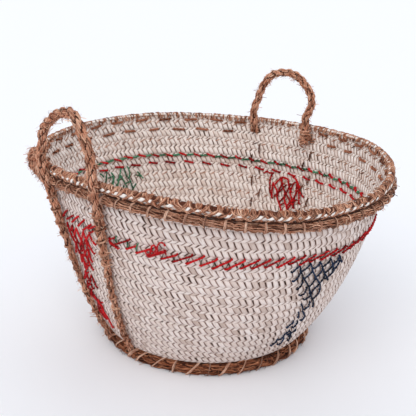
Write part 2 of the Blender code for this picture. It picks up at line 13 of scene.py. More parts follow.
import bpy
from bpy.props import FloatProperty, FloatVectorProperty, PointerProperty
from mathutils import Matrix, Vector


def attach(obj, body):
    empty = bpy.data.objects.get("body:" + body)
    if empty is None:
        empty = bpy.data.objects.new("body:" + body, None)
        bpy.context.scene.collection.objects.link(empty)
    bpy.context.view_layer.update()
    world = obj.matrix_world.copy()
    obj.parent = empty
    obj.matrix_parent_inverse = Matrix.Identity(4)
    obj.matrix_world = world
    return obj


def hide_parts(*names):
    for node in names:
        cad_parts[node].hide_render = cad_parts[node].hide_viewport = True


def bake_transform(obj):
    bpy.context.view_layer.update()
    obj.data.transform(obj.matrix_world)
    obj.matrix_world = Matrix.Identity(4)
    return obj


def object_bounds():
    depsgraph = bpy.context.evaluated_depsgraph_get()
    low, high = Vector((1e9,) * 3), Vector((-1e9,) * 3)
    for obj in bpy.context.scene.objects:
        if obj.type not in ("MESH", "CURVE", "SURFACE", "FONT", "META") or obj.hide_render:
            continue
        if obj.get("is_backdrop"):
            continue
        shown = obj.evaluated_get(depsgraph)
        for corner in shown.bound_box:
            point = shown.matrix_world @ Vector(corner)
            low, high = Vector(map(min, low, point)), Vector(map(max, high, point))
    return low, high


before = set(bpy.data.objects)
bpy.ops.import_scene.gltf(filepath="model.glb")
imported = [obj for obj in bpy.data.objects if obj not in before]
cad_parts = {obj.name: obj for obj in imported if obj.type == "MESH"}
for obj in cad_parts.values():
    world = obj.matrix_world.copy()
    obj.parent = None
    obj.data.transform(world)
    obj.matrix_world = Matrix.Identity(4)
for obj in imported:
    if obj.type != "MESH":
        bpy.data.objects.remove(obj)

bl_info = {
    "name": "Plaited basket",
    "version": (1, 0, 0),
    "blender": (4, 5, 0),
    "location": "3D View > Sidebar > Basket",
    "description": "Plaits, binds and embroiders a palm-leaf basket",
    "category": "Object",
}

# Bowl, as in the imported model
MOUTH_LENGTH = 0.440
MOUTH_WIDTH = 0.388
MOUTH_POWER = 2.22
OVAL_POWER = 2.0
MOUTH_LOBE_SHARE = 0.0115
FOOT_LENGTH = 0.279
FOOT_WIDTH = 0.2556
FOOT_SHIFT = 0.018
CENTRE_SHIFT_X = 0.0010
CENTRE_SHIFT_Y = 0.0017
LIP_HEIGHT = 0.238
LIP_LEAN = 0.007
LIP_SADDLE = 0.003
LIP_WAVE = 0.004
BELLY_SHARE = 0.60
LOW_BELLY_SHARE = 0.32
WALL = 0.004
CLEAR = 0.0003
BASE_ROPE_RADIUS = 0.00875
BASE_ROPE_INSET = 0.0041
BASE_ROPE_CENTRE = 0.007
BASE_TOP = 0.0201
MOUTH_SHIFT = -MOUTH_LENGTH / 2 * MOUTH_LOBE_SHARE
FOOT_HEIGHT = BASE_ROPE_CENTRE + math.sqrt((BASE_ROPE_RADIUS + CLEAR) ** 2 - BASE_ROPE_INSET**2)
LAID = 0.00057

# Rim
BINDING_OUTER_DEPTH = 0.0095
RIM_ROPE_RADIUS = 0.00475
RIM_ROPE_DEPTH = 0.01425
RIM_ROPE_OUT = RIM_ROPE_RADIUS - 0.0007
RIM_DASH_HIGH_DEPTH = 0.0085
RIM_DASH_LOW_DEPTH = 0.0215
RIM_TIE_PITCH = 0.0187
# The rim rope's dark core is painted shade for its crevices.
RIM_CORE_SHARE = 0.56
# Painted shadow: a dark strand along the top of the rim rope, in the gap between binding and rope.
RIM_SHADE_STRAND_OUT = 0.0014
RIM_SHADE_STRAND_RADIUS = 0.0013
RIM_FIBRE_LENGTH = 0.005

# Lashing: turns of coir round the rim, spread over degrees of the bowl
LASHING_TURNS = 30
LASHING_START = -121.0
LASHING_SWEEP = 18.5
LASHING_LEVEL = 0.009
LASHING_DEPTH = 0.0085
LASHING_REACH = 0.0115
LASHING_OUT = 0.0012
LASHING_SPREAD = 0.0060

# Loose turns round the right handle's front foot
FOOT_TURNS = 9
FOOT_TURN_DROP = 0.001
FOOT_TURN_START = -0.0065
FOOT_TURN_PITCH = 0.0019

# Stitches by the right handle's front foot: start and end round the wall, then their depths
FOOT_STITCHES = (
    (0.004, 0.017, 0.0030, 0.0000),
    (0.004, 0.019, 0.0050, 0.0035),
    (0.003, 0.014, 0.0065, 0.0060),
    (-0.005, -0.013, 0.0030, -0.0010),
    (-0.004, -0.011, 0.0060, 0.0030),
)

# Lip: sections and strands as depths below the lip and distances out of the wall's skin
LIP_LEAF_INNER_DEPTH = 0.0024
LIP_BUNDLE_SECTION = (
    (BINDING_OUTER_DEPTH, 0.0001),
    (BINDING_OUTER_DEPTH, 0.0011),
    (0.0045, 0.0013),
    (0.0008, 0.0010),
    (-0.0002, -0.0006),
    (-0.0004, -0.0020),
    (-0.0002, -0.0034),
    (0.0008, -0.0050),
    (LIP_LEAF_INNER_DEPTH, -0.0053),
    (LIP_LEAF_INNER_DEPTH, -0.0041),
)
LIP_CORE_SECTION = (
    (0.0040, 0.0012),
    (0.0030, 0.0017),
    (0.0008, 0.0012),
    (-0.0006, -0.0006),
    (-0.0009, -0.0020),
    (-0.0004, -0.0026),
    (0.0008, -0.0020),
    (0.0014, 0.0008),
)
WRAP_OUTSIDE = (
    (0.0099, -0.0002),
    (0.0086, 0.0016),
    (0.0058, 0.0021),
    (0.0032, 0.0020),
    (0.0010, 0.0013),
)
WRAP_INSIDE = (
    (-0.0006, -0.0004),
    (-0.0010, -0.0021),
    (-0.0005, -0.0038),
    (0.0012, -0.0051),
    (0.0030, -0.0052),
)
WRAP_DEPTH = 0.004
WRAP_STRAND_PITCH = 0.0007
LEAF_END_DEPTH = 0.0042

# Plait: the cores lie between its faces as painted shade for the gaps between floats, and depths on the
# base are below its top
CORE_ROWS = 28
CORE_FOOT_SHARE = 0.004
CORE_REACH_SHARE = 0.99
CORE_OUTER_DEPTH = 0.0016
CORE_INNER_DEPTH = 0.0024
ROW_ANGLE = 0.7
ROW_SHIFT_SHARE = 0.4
SEAM_SINK = 0.0009
DISC_SHARES = (0.02, 0.5, 0.985)
LONG_RING_SHARE = 0.32
SHORT_RING_SHARE = 0.86
BASE_EDGE_SHARE = 0.965
BASE_TOP_DEPTH = 0.0006
BASE_CORE_HIGH = 0.0013
BASE_CORE_LOW = 0.0027
BASE_UNDER_DEPTH = 0.0034

# Handles
HANDLE_RADIUS = 0.00575
LEFT_FRONT_ANGLES = (-75.0, -78.0)
LEFT_BACK_ANGLES = (-98.0, -97.0)
RIGHT_FRONT_ANGLES = (96.5, 86.0)
RIGHT_BACK_ANGLES = (120.5, 113.0)
LEFT_LEAN_ANGLE = 2.0
RIGHT_LEAN_ANGLE = 12.0
HINGE_RISE = 0.012
LEFT_ARCH_RISE = 0.060
RIGHT_ARCH_RISE = 0.055
LEFT_ARCH_BENDS = (
    (1.0, 0.0),
    (1.02, 0.22),
    (1.0, 0.45),
    (0.87, 0.65),
    (0.76, 0.86),
    (0.56, 1.0),
    (0.2, 0.98),
    (-0.15, 0.87),
    (-0.64, 0.62),
    (-0.8, 0.38),
    (-0.88, 0.18),
    (-1.0, 0.0),
)
RIGHT_ARCH_BENDS = (
    (1.0, 0.0),
    (1.12, 0.16),
    (1.13, 0.42),
    (0.91, 0.69),
    (0.52, 0.93),
    (0.04, 1.0),
    (-0.44, 0.91),
    (-0.74, 0.64),
    (-0.89, 0.28),
    (-1.0, 0.0),
)
LEG_OUT = HANDLE_RADIUS + LAID
LEG_MARGIN = HANDLE_RADIUS + 4 * CLEAR
LEG_OVER_BINDING = HANDLE_RADIUS + 0.0025
LEG_BEHIND_BINDING = -(WALL + LEG_OVER_BINDING)
HOLE_DEPTH = BINDING_OUTER_DEPTH + HANDLE_RADIUS + 0.0009
ROPE_BEND = 0.0072
BEND_STEPS = 4
LEG_FOOT_SHARE = 0.015
LEG_STEPS = 8
LEG_LAST_STEP_SHARE = 0.02
LEG_FULL_HEIGHT = 0.205
LEG_SLIM_HEIGHT = 0.130
LEG_SLIMMING = 0.35
LEG_TIE_PITCH = 0.0155
LEG_TIE_START = 0.034
LEG_TIE_END = 0.205

# Yarn
BAND_HIGH_DEPTH = 0.0585
BAND_LOW_DEPTH = 0.0695
YARN_RADIUS = 0.0014
MOTIF_YARN_RADIUS = 0.00125
RETURN_YARN_RADIUS = YARN_RADIUS * 0.4
GREEN_RETURN_SHARE = 0.7
EVEN_STROKE_LOW = 0.0605
EVEN_STROKE_HIGH = 0.0530
INNER_YARN_RADIUS = 0.0018
STITCH_LIFT = 0.0014
YARN_PITCH = 0.0138
YARN_REACH = 0.0168

# Stitches as pixels of the photo, most of them read off it: x to the right, y down from its corner
PHOTO_SIDE = 416
LEFT_RED_PIXELS = (
    ((67, 223), (70, 231), (73, 238), (76, 243), (78, 249), (81, 255), (84, 262), (85, 267)),
    ((70, 231), (72, 225), (73, 231), (76, 238), (80, 245), (82, 251)),
    ((74, 237), (76, 228), (79, 235), (82, 242), (84, 250), (86, 257)),
    ((80, 246), (82, 238), (83, 231), (85, 237), (88, 243), (91, 249), (94, 254)),
    ((86, 244), (87, 238), (89, 234), (92, 240), (95, 245)),
    ((76, 243), (76, 252)),
    ((79, 253), (83, 246), (85, 240)),
    ((84, 256), (87, 249), (87, 243)),
    ((87, 259), (89, 254), (88, 249), (90, 256), (92, 262)),
    ((81, 255), (82, 262)),
    ((82, 255), (86, 266)),
    ((85, 268), (88, 262), (87, 257), (90, 264), (93, 270)),
    ((88, 266), (85, 272)),
    ((84, 279), (86, 272), (88, 277), (90, 282)),
    ((85, 278), (87, 273)),
    ((90, 281), (91, 275), (94, 281), (97, 288)),
    ((87, 281), (88, 284)),
    ((88, 290), (88, 285), (91, 284), (93, 289)),
    ((88, 289), (91, 294), (95, 298), (98, 301)),
    ((90, 289), (93, 295), (98, 301)),
    ((91, 290), (94, 295), (97, 299), (102, 303)),
    ((98, 301), (98, 306), (100, 311), (103, 315), (106, 319)),
    ((99, 309), (102, 313), (105, 317)),
    ((99, 303), (101, 308), (103, 314)),
    ((98, 301), (102, 306), (104, 312), (108, 318), (111, 324), (113, 328)),
    ((102, 308), (105, 315), (107, 319)),
)
NAVY_PIXELS = (
    ((292, 273), (296, 269), (300, 266)),
    ((300, 266), (301, 272), (304, 279), (309, 287), (310, 294), (313, 300), (313, 307)),
    ((301, 272), (306, 269), (311, 264)),
    ((311, 264), (313, 272), (316, 278), (320, 284), (320, 290)),
    ((314, 269), (318, 266), (321, 263)),
    ((321, 263), (323, 269), (325, 274), (328, 280)),
    ((323, 267), (328, 263), (331, 259)),
    ((331, 259), (333, 265), (334, 271)),
    ((334, 264), (338, 260), (340, 256)),
    ((340, 256), (341, 260), (342, 262)),
    ((293, 282), (298, 278), (301, 272)),
    ((304, 279), (308, 276), (313, 271)),
    ((316, 277), (319, 275), (323, 269)),
    ((325, 273), (329, 270), (333, 265)),
    ((334, 270), (337, 266), (340, 261)),
    ((297, 290), (301, 286), (303, 281)),
    ((309, 287), (312, 284), (316, 278)),
    ((320, 283), (323, 279), (325, 275)),
    ((325, 279), (329, 276), (333, 272)),
    ((300, 296), (304, 294), (307, 288)),
    ((310, 294), (315, 288), (319, 285)),
    ((304, 300), (309, 297), (312, 293)),
    ((313, 299), (318, 294), (320, 290)),
    ((302, 305), (303, 310), (308, 307), (310, 302)),
    ((303, 312), (305, 316), (303, 319), (301, 321)),
    ((299, 313), (298, 318)),
    ((298, 322), (295, 326), (293, 328)),
    ((294, 322), (290, 325), (287, 328)),
    ((296, 330), (291, 333), (287, 335)),
    ((290, 331), (285, 334), (281, 339), (278, 340)),
    ((284, 338), (281, 343), (278, 345)),
    ((291, 335), (288, 341)),
    ((291, 333), (289, 337)),
    ((277, 341), (271, 346)),
)
RIGHT_RED_PIXELS = (
    ((264, 173), (267, 171), (270, 173), (273, 173)),
    ((272, 174), (270, 180), (270, 190), (272, 198)),
    ((273, 183), (272, 190), (272, 198)),
    ((273, 183), (277, 190), (277, 197), (280, 206), (281, 210)),
    ((275, 184), (279, 180), (282, 177), (285, 178)),
    ((282, 178), (282, 184), (285, 192), (284, 198)),
    ((279, 202), (284, 197), (288, 190), (290, 184)),
    ((285, 178), (288, 179), (289, 186), (291, 192)),
    ((284, 198), (286, 205), (287, 210)),
    ((286, 207), (290, 202), (294, 198), (297, 191)),
    ((293, 177), (296, 179), (298, 183), (300, 188)),
    ((291, 189), (294, 183), (297, 182)),
    ((297, 182), (299, 190), (299, 198), (299, 204)),
    ((297, 186), (300, 192), (303, 197)),
    ((290, 192), (292, 199), (293, 208)),
    ((297, 184), (296, 192), (294, 200), (293, 208)),
    ((277, 196), (279, 190), (282, 184)),
    ((280, 205), (284, 203)),
    ((280, 178), (283, 184)),
    ((274, 196), (281, 190), (286, 185)),
    ((287, 210), (291, 204), (296, 200)),
    ((285, 192), (288, 197), (291, 203)),
)
GREEN_PIXELS = (
    ((101, 174), (104, 177)),
    ((107, 172), (106, 182)),
    ((112, 173), (114, 178), (112, 184)),
    ((114, 178), (113, 186)),
    ((121, 168), (120, 175), (118, 184)),
    ((120, 175), (124, 181), (127, 187)),
    ((124, 168), (126, 175), (130, 180), (133, 188)),
    ((128, 167), (130, 173), (129, 178)),
    ((118, 180), (122, 176)),
    ((127, 183), (131, 181)),
    ((138, 172), (143, 178)),
    ((137, 175), (141, 176)),
    ((109, 178), (114, 176)),
    ((117, 185), (123, 192)),
    ((115, 191), (121, 198)),
    ((124, 186), (122, 195)),
    ((131, 190), (128, 198)),
    ((136, 184), (131, 192)),
)
LEFT_STROKE_PIXELS = (
    ((63, 216), (66, 211)),
    ((67, 219), (72, 216)),
    ((72, 222), (77, 217)),
    ((78, 226), (83, 221)),
    ((83, 230), (90, 225)),
    ((89, 233), (97, 230)),
)
FRONT_STROKE_PIXELS = (
    ((109, 239), (114, 238)),
    ((116, 244), (129, 240)),
    ((126, 249), (136, 246)),
    ((136, 253), (151, 249)),
    ((148, 257), (165, 252)),
    ((161, 259), (177, 255)),
    ((172, 262), (192, 256)),
    ((186, 264), (204, 257)),
    ((200, 266), (217, 260)),
    ((212, 269), (232, 260)),
    ((225, 270), (245, 261)),
    ((240, 269), (260, 260)),
    ((252, 269), (271, 260)),
    ((265, 268), (284, 258)),
    ((277, 268), (295, 258)),
    ((289, 265), (306, 256)),
    ((300, 265), (316, 255)),
    ((310, 262), (329, 251)),
    ((321, 260), (338, 249)),
    ((333, 256), (347, 246)),
    ((343, 253), (355, 242)),
    ((349, 249), (361, 238)),
    ((357, 243), (366, 232)),
)
GREEN_RETURN_PIXELS = (
    ((115.5, 237), (117, 244)),
    ((127, 242), (128, 248)),
    ((137, 245), (136, 250)),
)
TUFT_PIXELS = (
    ((109, 241), (113, 244), (118, 249)),
    ((110, 243), (114, 246), (117, 247)),
)

# Knot, in distances along the wall and up it
KNOT_ANGLE = -55.8
KNOT_DEPTH = 0.0575
KNOT_LIFT = 0.0018
KNOT_SLANT = 0.42
KNOT_YARN_RADIUS = 0.0011
KNOT_WINDINGS = ((0.0125, -0.0012), (0.0135, 0.0), (0.0095, 0.0013))
KNOT_RINGS = ((-0.0105, -0.0035, 0.0030, 0.0036), (-0.0040, -0.0005, 0.0028, 0.0046))
KNOT_LOOP = ((0.0005, -0.0050), (0.0008, 0.0015), (0.0040, 0.0062), (0.0080, 0.0048), (0.0098, 0.0008))
KNOT_TAIL = ((0.0078, -0.0030), (0.0092, -0.0075), (0.0100, -0.0105))

# Legs in their order round the bowl, and the steps that lines on it are drawn and searched in
LEGS = (LEFT_BACK_ANGLES, LEFT_FRONT_ANGLES, RIGHT_FRONT_ANGLES, RIGHT_BACK_ANGLES)
STRETCH_NAMES = ("left_handle", "front", "right_handle", "back")
NUDGE = 1e-4
RING_STEPS = 240
SEARCH_STEP = 0.002
SEARCH_REACH = 0.05
SEARCH_STEPS = 8

# Ties and stitches: a lift is over the rope or off the wall, a pair lies that far to both sides
RIM_TIE_LIFT = 0.0007
RIM_TIE_MARGIN = 0.002
RIM_TIE_PAIR = 0.0006
RIM_TIE_LEAN = 0.0012
RIM_DASH_LIFT = 0.0013
RIM_DASH_MARGIN = 0.0094
FOOT_STITCH_LIFT = 0.0016
LEG_STITCH_RADIUS = 0.0014
LEG_STITCH_SIDE = 0.0065
LEG_TIE_LIFT = 0.0005
LEG_TIE_PAIR = 0.0005
BASE_TIE_LIFT = 0.0006
BASE_TIE_COUNT = 40
BASE_TIE_TURNS = (-42, -20, 0, 22, 45, 66, 84)
BASE_TIE_STRAND_ANGLE = 0.010
TIE_SWEEP = 128
DASH_STEPS = 6
STITCH_STEP = 0.0022

# Strands: forms of ropes as shares of their radius, and of their fibres
STRAND_SIDES = 5
SINGLE_LAY = 0.01
STRAND_FORM = {"Step": 0.0023, "Matted fibres per area": 24000.0}
STRAND_LAY_SHARE = -0.55
PLY_OVERLAP = 0.98
ROPE_PLY_OFFSET = {3: 0.46, 4: 0.55}
# Dark rope cores are painted shade for the crevices; their radius as a share of the rope's
ROPE_CORE_SHARE = 0.7
BUNDLE_REACH_SHARE = 0.72
BUNDLE_STRAND_SHARE = 0.25
BUNDLE_STRAND_LAY = 0.019
WOBBLE_NOISE_SCALE = 110.0
SWELL_NOISE_SCALE = 260.0
SWELL_REACH = 3.0
MATTED_FIBRE_SHARE = 4.5
HAIR_HEIGHT_SHARES = (0.45, 0.40)
MATTED_HEIGHT_SHARES = (0.10, -0.16)
TWINES = {
    "seam": {"radius": 0.0007, "finish": "Coir twine", "Step": 0.0025},
    "lip wrap": {
        "radius": 0.00075,
        "finish": "Rim coir",
        "Step": 0.0022,
        "Unevenness": 0.8,
        "Wobble": 0.0026,
        "Fibres per area": 4000.0,
        "Fibre length": RIM_FIBRE_LENGTH,
    },
    "rim tie": {"radius": 0.00055, "finish": "Coir twine", "Unevenness": 0.6, "Wobble": 0.0012},
    "lashing": {
        "radius": 0.0017,
        "finish": "Coir rope",
        "plies": 2,
        "lay": 0.012,
        "Sides": 6,
        "Step": 0.0024,
        "Unevenness": 0.4,
        "Wobble": 0.003,
        "Matted fibres per area": 30000.0,
    },
    "foot turn": {
        "radius": 0.0013,
        "finish": "Coir rope",
        "plies": 2,
        "lay": 0.010,
        "Step": 0.0022,
        "Unevenness": 0.5,
        "Wobble": 0.002,
        "Matted fibres per area": 20000.0,
    },
    "rim dash": {"radius": 0.0021, "finish": "Stitch twine", "plies": 2, "lay": 0.008, "Step": 0.0016},
    "leg stitch": {"radius": LEG_STITCH_RADIUS, "finish": "Dark twine", "plies": 2, "lay": 0.008},
    "leg tie": {
        "radius": 0.0008,
        "finish": "Rim coir",
        "Unevenness": 0.3,
        "Wobble": 0.0008,
        "Lowest point": CLEAR,
    },
    "base tie": {
        "radius": 0.0008,
        "finish": "Coir twine",
        "Unevenness": 0.3,
        "Wobble": 0.0015,
        "Lowest point": CLEAR,
    },
}

# Camera and stage
CAMERA_TARGET = (-0.0176, 0.0008, 0.12)
CAMERA_DISTANCE = 0.9841
CAMERA_AZIMUTH = 54.4427
CAMERA_ELEVATION = 22.3166
CAMERA_ROLL = -0.7007
CAMERA_LENS = 66.72
CAMERA_SHIFT = (0.01154, 0.07085)
SENSOR = 36.0
FRONT_LAMP_PLACE = (0.58, -0.74, 1.0)
BACK_LAMP_PLACE = (-0.55, 0.55, 1.1)
LAMP_COLOUR = (1.0, 0.965, 0.92)
DAYLIGHT_COLOUR = (0.94, 0.975, 1.03, 1.0)
BACKDROP_COLOUR = (0.965, 0.985, 1.0, 1.0)
FLOOR_COLOUR = (0.915, 0.925, 0.955, 1.0)


def signed_power(value, power):
    return math.copysign(abs(value) ** power, value)


def oval(angle, length, width, power):
    """Point of a squared oval, seen from above."""
    x = length / 2 * signed_power(math.cos(angle), 2 / power)
    y = width / 2 * signed_power(math.sin(angle), 2 / power)
    return x, y


def lip_height(angle):
    level = LIP_HEIGHT - LIP_LEAN * math.sin(angle)
    return level - LIP_SADDLE * math.cos(2 * angle) - LIP_WAVE * math.cos(3 * angle)


def skin(angle, rise):
    """Outer skin of the bowl: rise runs from 0 at the foot to 1 at the lip."""
    belly = rise * (1 - rise)
    spread = rise + BELLY_SHARE * belly + LOW_BELLY_SHARE * belly * (1 - 2 * rise)
    lobe = 1 + MOUTH_LOBE_SHARE * math.cos(3 * angle) * rise
    power = OVAL_POWER + (MOUTH_POWER - OVAL_POWER) * rise
    foot_x, foot_y = oval(angle, FOOT_LENGTH, FOOT_WIDTH, OVAL_POWER)
    mouth_x, mouth_y = oval(angle, MOUTH_LENGTH, MOUTH_WIDTH, power)
    x = (foot_x + (mouth_x - foot_x) * spread) * lobe + MOUTH_SHIFT - FOOT_SHIFT * (1 - spread)
    y = (foot_y + (mouth_y - foot_y) * spread) * lobe
    x += CENTRE_SHIFT_X
    y += CENTRE_SHIFT_Y
    return Vector((x, y, FOOT_HEIGHT + (lip_height(angle) - FOOT_HEIGHT) * rise))


def slopes(angle, rise):
    """Unit vectors round the bowl, up it and out of it."""
    here = skin(angle, rise)
    along = (skin(angle + NUDGE, rise) - here).normalized()
    up = (skin(angle, rise + NUDGE) - here).normalized()
    out = along.cross(up).normalized()
    return along, up, out


def wall_point(angle, rise, out=0.0):
    return skin(angle, rise) + slopes(angle, rise)[2] * out


def rise_at(angle, depth):
    """Rise of the place that lies a depth below the lip."""
    return 1 - depth / (lip_height(angle) - FOOT_HEIGHT)


def below_lip(angle, depth, out=0.0):
    return wall_point(angle, rise_at(angle, depth), out)


def turn_angle(angle, depth, distance):
    """Angle of the place that lies a distance further round the bowl."""
    step = below_lip(angle + NUDGE, depth) - below_lip(angle, depth)
    return angle + distance / step.length * NUDGE


def leg_angle(angles, rise):
    lip_angle, foot_angle = angles
    return math.radians(foot_angle + (lip_angle - foot_angle) * rise)


def leg_rise(angles, depth):
    """Rise of the place of a leg that lies a depth below the lip."""
    return rise_at(math.radians(angles[0]), depth)


def leg_at_depth(angles, depth):
    return leg_angle(angles, leg_rise(angles, depth))


def line_length(points):
    return sum((end - start).length for start, end in zip(points, points[1:]))


def spread_evenly(turns, points, count):
    """Turns at count + 1 even distances along a line of points, one point for each turn."""
    reached = [0.0]
    for start, end in zip(points, points[1:]):
        reached.append(reached[-1] + (end - start).length)
    found = []
    index = 0
    for place in range(count + 1):
        wanted = reached[-1] * place / count
        while index < len(points) - 2 and reached[index + 1] < wanted:
            index += 1
        share = (wanted - reached[index]) / (reached[index + 1] - reached[index])
        found.append(turns[index] + share * (turns[index + 1] - turns[index]))
    return found


def even_steps(first=0.0, last=2 * math.pi):
    """Turns at even steps: once round the bowl, unless told otherwise."""
    return [first + (last - first) * index / RING_STEPS for index in range(RING_STEPS + 1)]


def spaced(turns, points, pitch):
    """Turns at an even pitch along a line of points, one point for each turn."""
    return spread_evenly(turns, points, max(1, round(line_length(points) / pitch)))


def spaced_angles(first, last, depth, pitch):
    """Angles at an even pitch along a stretch at one depth below the lip."""
    turns = even_steps(first, last)
    return spaced(turns, [below_lip(turn, depth) for turn in turns], pitch)


def stretches(depth, margin):
    """The four stretches round the outside between the handle legs, by name."""
    stops = [leg_at_depth(angles, depth) for angles in LEGS]
    stops.append(stops[0] + 2 * math.pi)
    found = []
    for name, start, end in zip(STRETCH_NAMES, stops, stops[1:]):
        first = turn_angle(start, depth, margin)
        last = turn_angle(end, depth, -margin)
        found.append((name, first, last))
    return found


def smooth_path(points, steps):
    """Points along a smooth curve that passes through the given ones."""
    ends = [2 * points[0] - points[1], *points, 2 * points[-1] - points[-2]]
    path = []
    for before, start, end, after in zip(ends, ends[1:], ends[2:], ends[3:]):
        for index in range(steps):
            share = index / steps
            bend = 2 * before - 5 * start + 4 * end - after
            turn = 3 * start - 3 * end + after - before
            place = start + ((end - before) * share + bend * share**2 + turn * share**3) / 2
            path.append(place)
    path.append(points[-1])
    return path


# Node trees


def new_tree(name, inputs):
    """Geometry node tree with the named inputs and one geometry output."""
    tree = bpy.data.node_groups.new(name, "GeometryNodeTree")
    for label, kind, value in inputs:
        socket = tree.interface.new_socket(label, in_out="INPUT", socket_type="NodeSocket" + kind)
        if value is not None:
            socket.default_value = value
    tree.interface.new_socket("Geometry", in_out="OUTPUT", socket_type="NodeSocketGeometry")
    return tree


def add_node(tree, kind, inputs, **settings):
    """Node with its settings, each input linked to a socket or set to a value."""
    made = tree.nodes.new(kind)
    made.location = (180 * len(tree.nodes), 0)
    for key, value in settings.items():
        setattr(made, key, value)
    for place, value in inputs.items():
        if isinstance(value, bpy.types.NodeSocket):
            tree.links.new(value, made.inputs[place])
        else:
            made.inputs[place].default_value = value
    return made


def result(tree, kind, inputs, **settings):
    """First output of a new node."""
    return add_node(tree, kind, inputs, **settings).outputs[0]


def calculate(tree, operation, first, second=0.0):
    return result(tree, "ShaderNodeMath", {0: first, 1: second}, operation=operation)


def calculate_vector(tree, operation, first, second):
    return result(tree, "ShaderNodeVectorMath", {0: first, 1: second}, operation=operation)


def scaled(tree, vector, factor):
    inputs = {0: vector, "Scale": factor}
    return result(tree, "ShaderNodeVectorMath", inputs, operation="SCALE")


def combined(tree, x=0.0, y=0.0, z=0.0):
    return result(tree, "ShaderNodeCombineXYZ", {0: x, 1: y, 2: z})


def separated(tree, vector):
    return add_node(tree, "ShaderNodeSeparateXYZ", {0: vector}).outputs


def noise(tree, place, scale, detail):
    """Grey and coloured noise at a place."""
    inputs = {"Vector": place, "Scale": scale, "Detail": detail}
    return add_node(tree, "ShaderNodeTexNoise", inputs).outputs


def store(tree, geometry, name, value, kind="FLOAT", domain="POINT"):
    inputs = {"Geometry": geometry, "Name": name, "Value": value}
    return result(tree, "GeometryNodeStoreNamedAttribute", inputs, data_type=kind, domain=domain)


def read(tree, name, kind):
    made = add_node(tree, "GeometryNodeInputNamedAttribute", {"Name": name}, data_type=kind)
    return made.outputs["Attribute"]


def random_value(tree, low, high, seed, number=None):
    inputs = {2: low, 3: high, "Seed": seed}
    if number is not None:
        inputs["ID"] = number
    made = add_node(tree, "FunctionNodeRandomValue", inputs, data_type="FLOAT")
    return made.outputs[1]


def finish_tree(tree, geometry, source):
    """Ends a tree in smooth, realized faces of one material."""
    made = result(tree, "GeometryNodeRealizeInstances", {"Geometry": geometry})
    made = result(tree, "GeometryNodeSetShadeSmooth", {"Geometry": made})
    inputs = {"Geometry": made, "Material": source["Material"]}
    add_node(tree, "NodeGroupOutput", {0: result(tree, "GeometryNodeSetMaterial", inputs)})


def joined(tree, *parts):
    """The parts as one geometry."""
    made = add_node(tree, "GeometryNodeJoinGeometry", {})
    for part in parts:
        tree.links.new(part, made.inputs[0])
    return made.outputs[0]


def swept(tree, line, profile, **more):
    """Closed tube of a profile along a line."""
    inputs = {"Curve": line, "Profile Curve": profile, "Fill Caps": True, **more}
    return result(tree, "GeometryNodeCurveToMesh", inputs)


STRAND_INPUTS = (
    ("Geometry", "Geometry", None),
    ("Ply radius", "Float", 0.001),
    ("Ply offset", "Float", 0.001),
    ("Plies", "Int", 2),
    ("Lay", "Float", 0.02),
    ("Step", "Float", 0.002),
    ("Sides", "Int", 6),
    ("Wobble", "Float", 0.0),
    ("Unevenness", "Float", 0.0),
    ("Lowest point", "Float", -1.0),
    ("Fibres per area", "Float", 0.0),
    ("Fibre length", "Float", 0.0062),
    ("Fibre radius", "Float", 0.00006),
    ("Matted fibres per area", "Float", 0.0),
    ("Seed", "Int", 1),
    ("Material", "Material", None),
)


def ply_lines(tree, source):
    """Copies of each line that wind round it, one for each ply, and how much each swells."""
    line = result(tree, "GeometryNodeMeshToCurve", {"Mesh": source["Geometry"]})
    inputs = {"Curve": line, "Length": source["Step"]}
    line = result(tree, "GeometryNodeResampleCurve", inputs, mode="LENGTH")
    inputs = {"Geometry": line, "Amount": source["Plies"]}
    copies = add_node(tree, "GeometryNodeDuplicateElements", inputs, domain="SPLINE").outputs
    spline = add_node(tree, "GeometryNodeSplineParameter", {}).outputs
    length = add_node(tree, "GeometryNodeSplineLength", {}).outputs["Length"]
    turns = calculate(tree, "ROUND", calculate(tree, "DIVIDE", length, source["Lay"]))
    share = calculate(tree, "DIVIDE", copies[1], source["Plies"])
    turn = calculate(tree, "MULTIPLY", spline["Factor"], turns)
    turn = calculate(tree, "MULTIPLY", calculate(tree, "ADD", turn, share), 2 * math.pi)
    normal = add_node(tree, "GeometryNodeInputNormal", {}).outputs["Normal"]
    tangent = result(tree, "GeometryNodeInputTangent", {})
    side = calculate_vector(tree, "CROSS_PRODUCT", tangent, normal)
    ahead = scaled(tree, normal, calculate(tree, "COSINE", turn))
    across = scaled(tree, side, calculate(tree, "SINE", turn))
    width = calculate(tree, "SUBTRACT", 1.0, read(tree, "slimming", "FLOAT"))
    spiral = scaled(tree, calculate_vector(tree, "ADD", ahead, across), source["Ply offset"])
    spiral = scaled(tree, spiral, width)
    place = result(tree, "GeometryNodeInputPosition", {})
    spot = calculate_vector(tree, "ADD", place, combined(tree, z=share))
    shake = noise(tree, spot, WOBBLE_NOISE_SCALE, 2.0)[1]
    shake = calculate_vector(tree, "SUBTRACT", shake, (0.5, 0.5, 0.5))
    offset = calculate_vector(tree, "ADD", spiral, scaled(tree, shake, source["Wobble"]))
    line = result(tree, "GeometryNodeSetPosition", {"Geometry": copies[0], "Offset": offset})
    line = store(tree, line, "along", spline["Length"])
    number = result(tree, "GeometryNodeInputIndex", {})
    shade = random_value(tree, 0.0, 1.0, source["Seed"], number)
    line = store(tree, line, "shade", shade, domain="CURVE")
    swell = noise(tree, spot, SWELL_NOISE_SCALE, 1.0)[0]
    swell = calculate(tree, "MULTIPLY", calculate(tree, "SUBTRACT", swell, 0.5), SWELL_REACH)
    swell = calculate(tree, "MULTIPLY", swell, source["Unevenness"])
    swell = calculate(tree, "MULTIPLY", calculate(tree, "ADD", swell, 1.0), width)
    return line, swell, spline["Factor"]


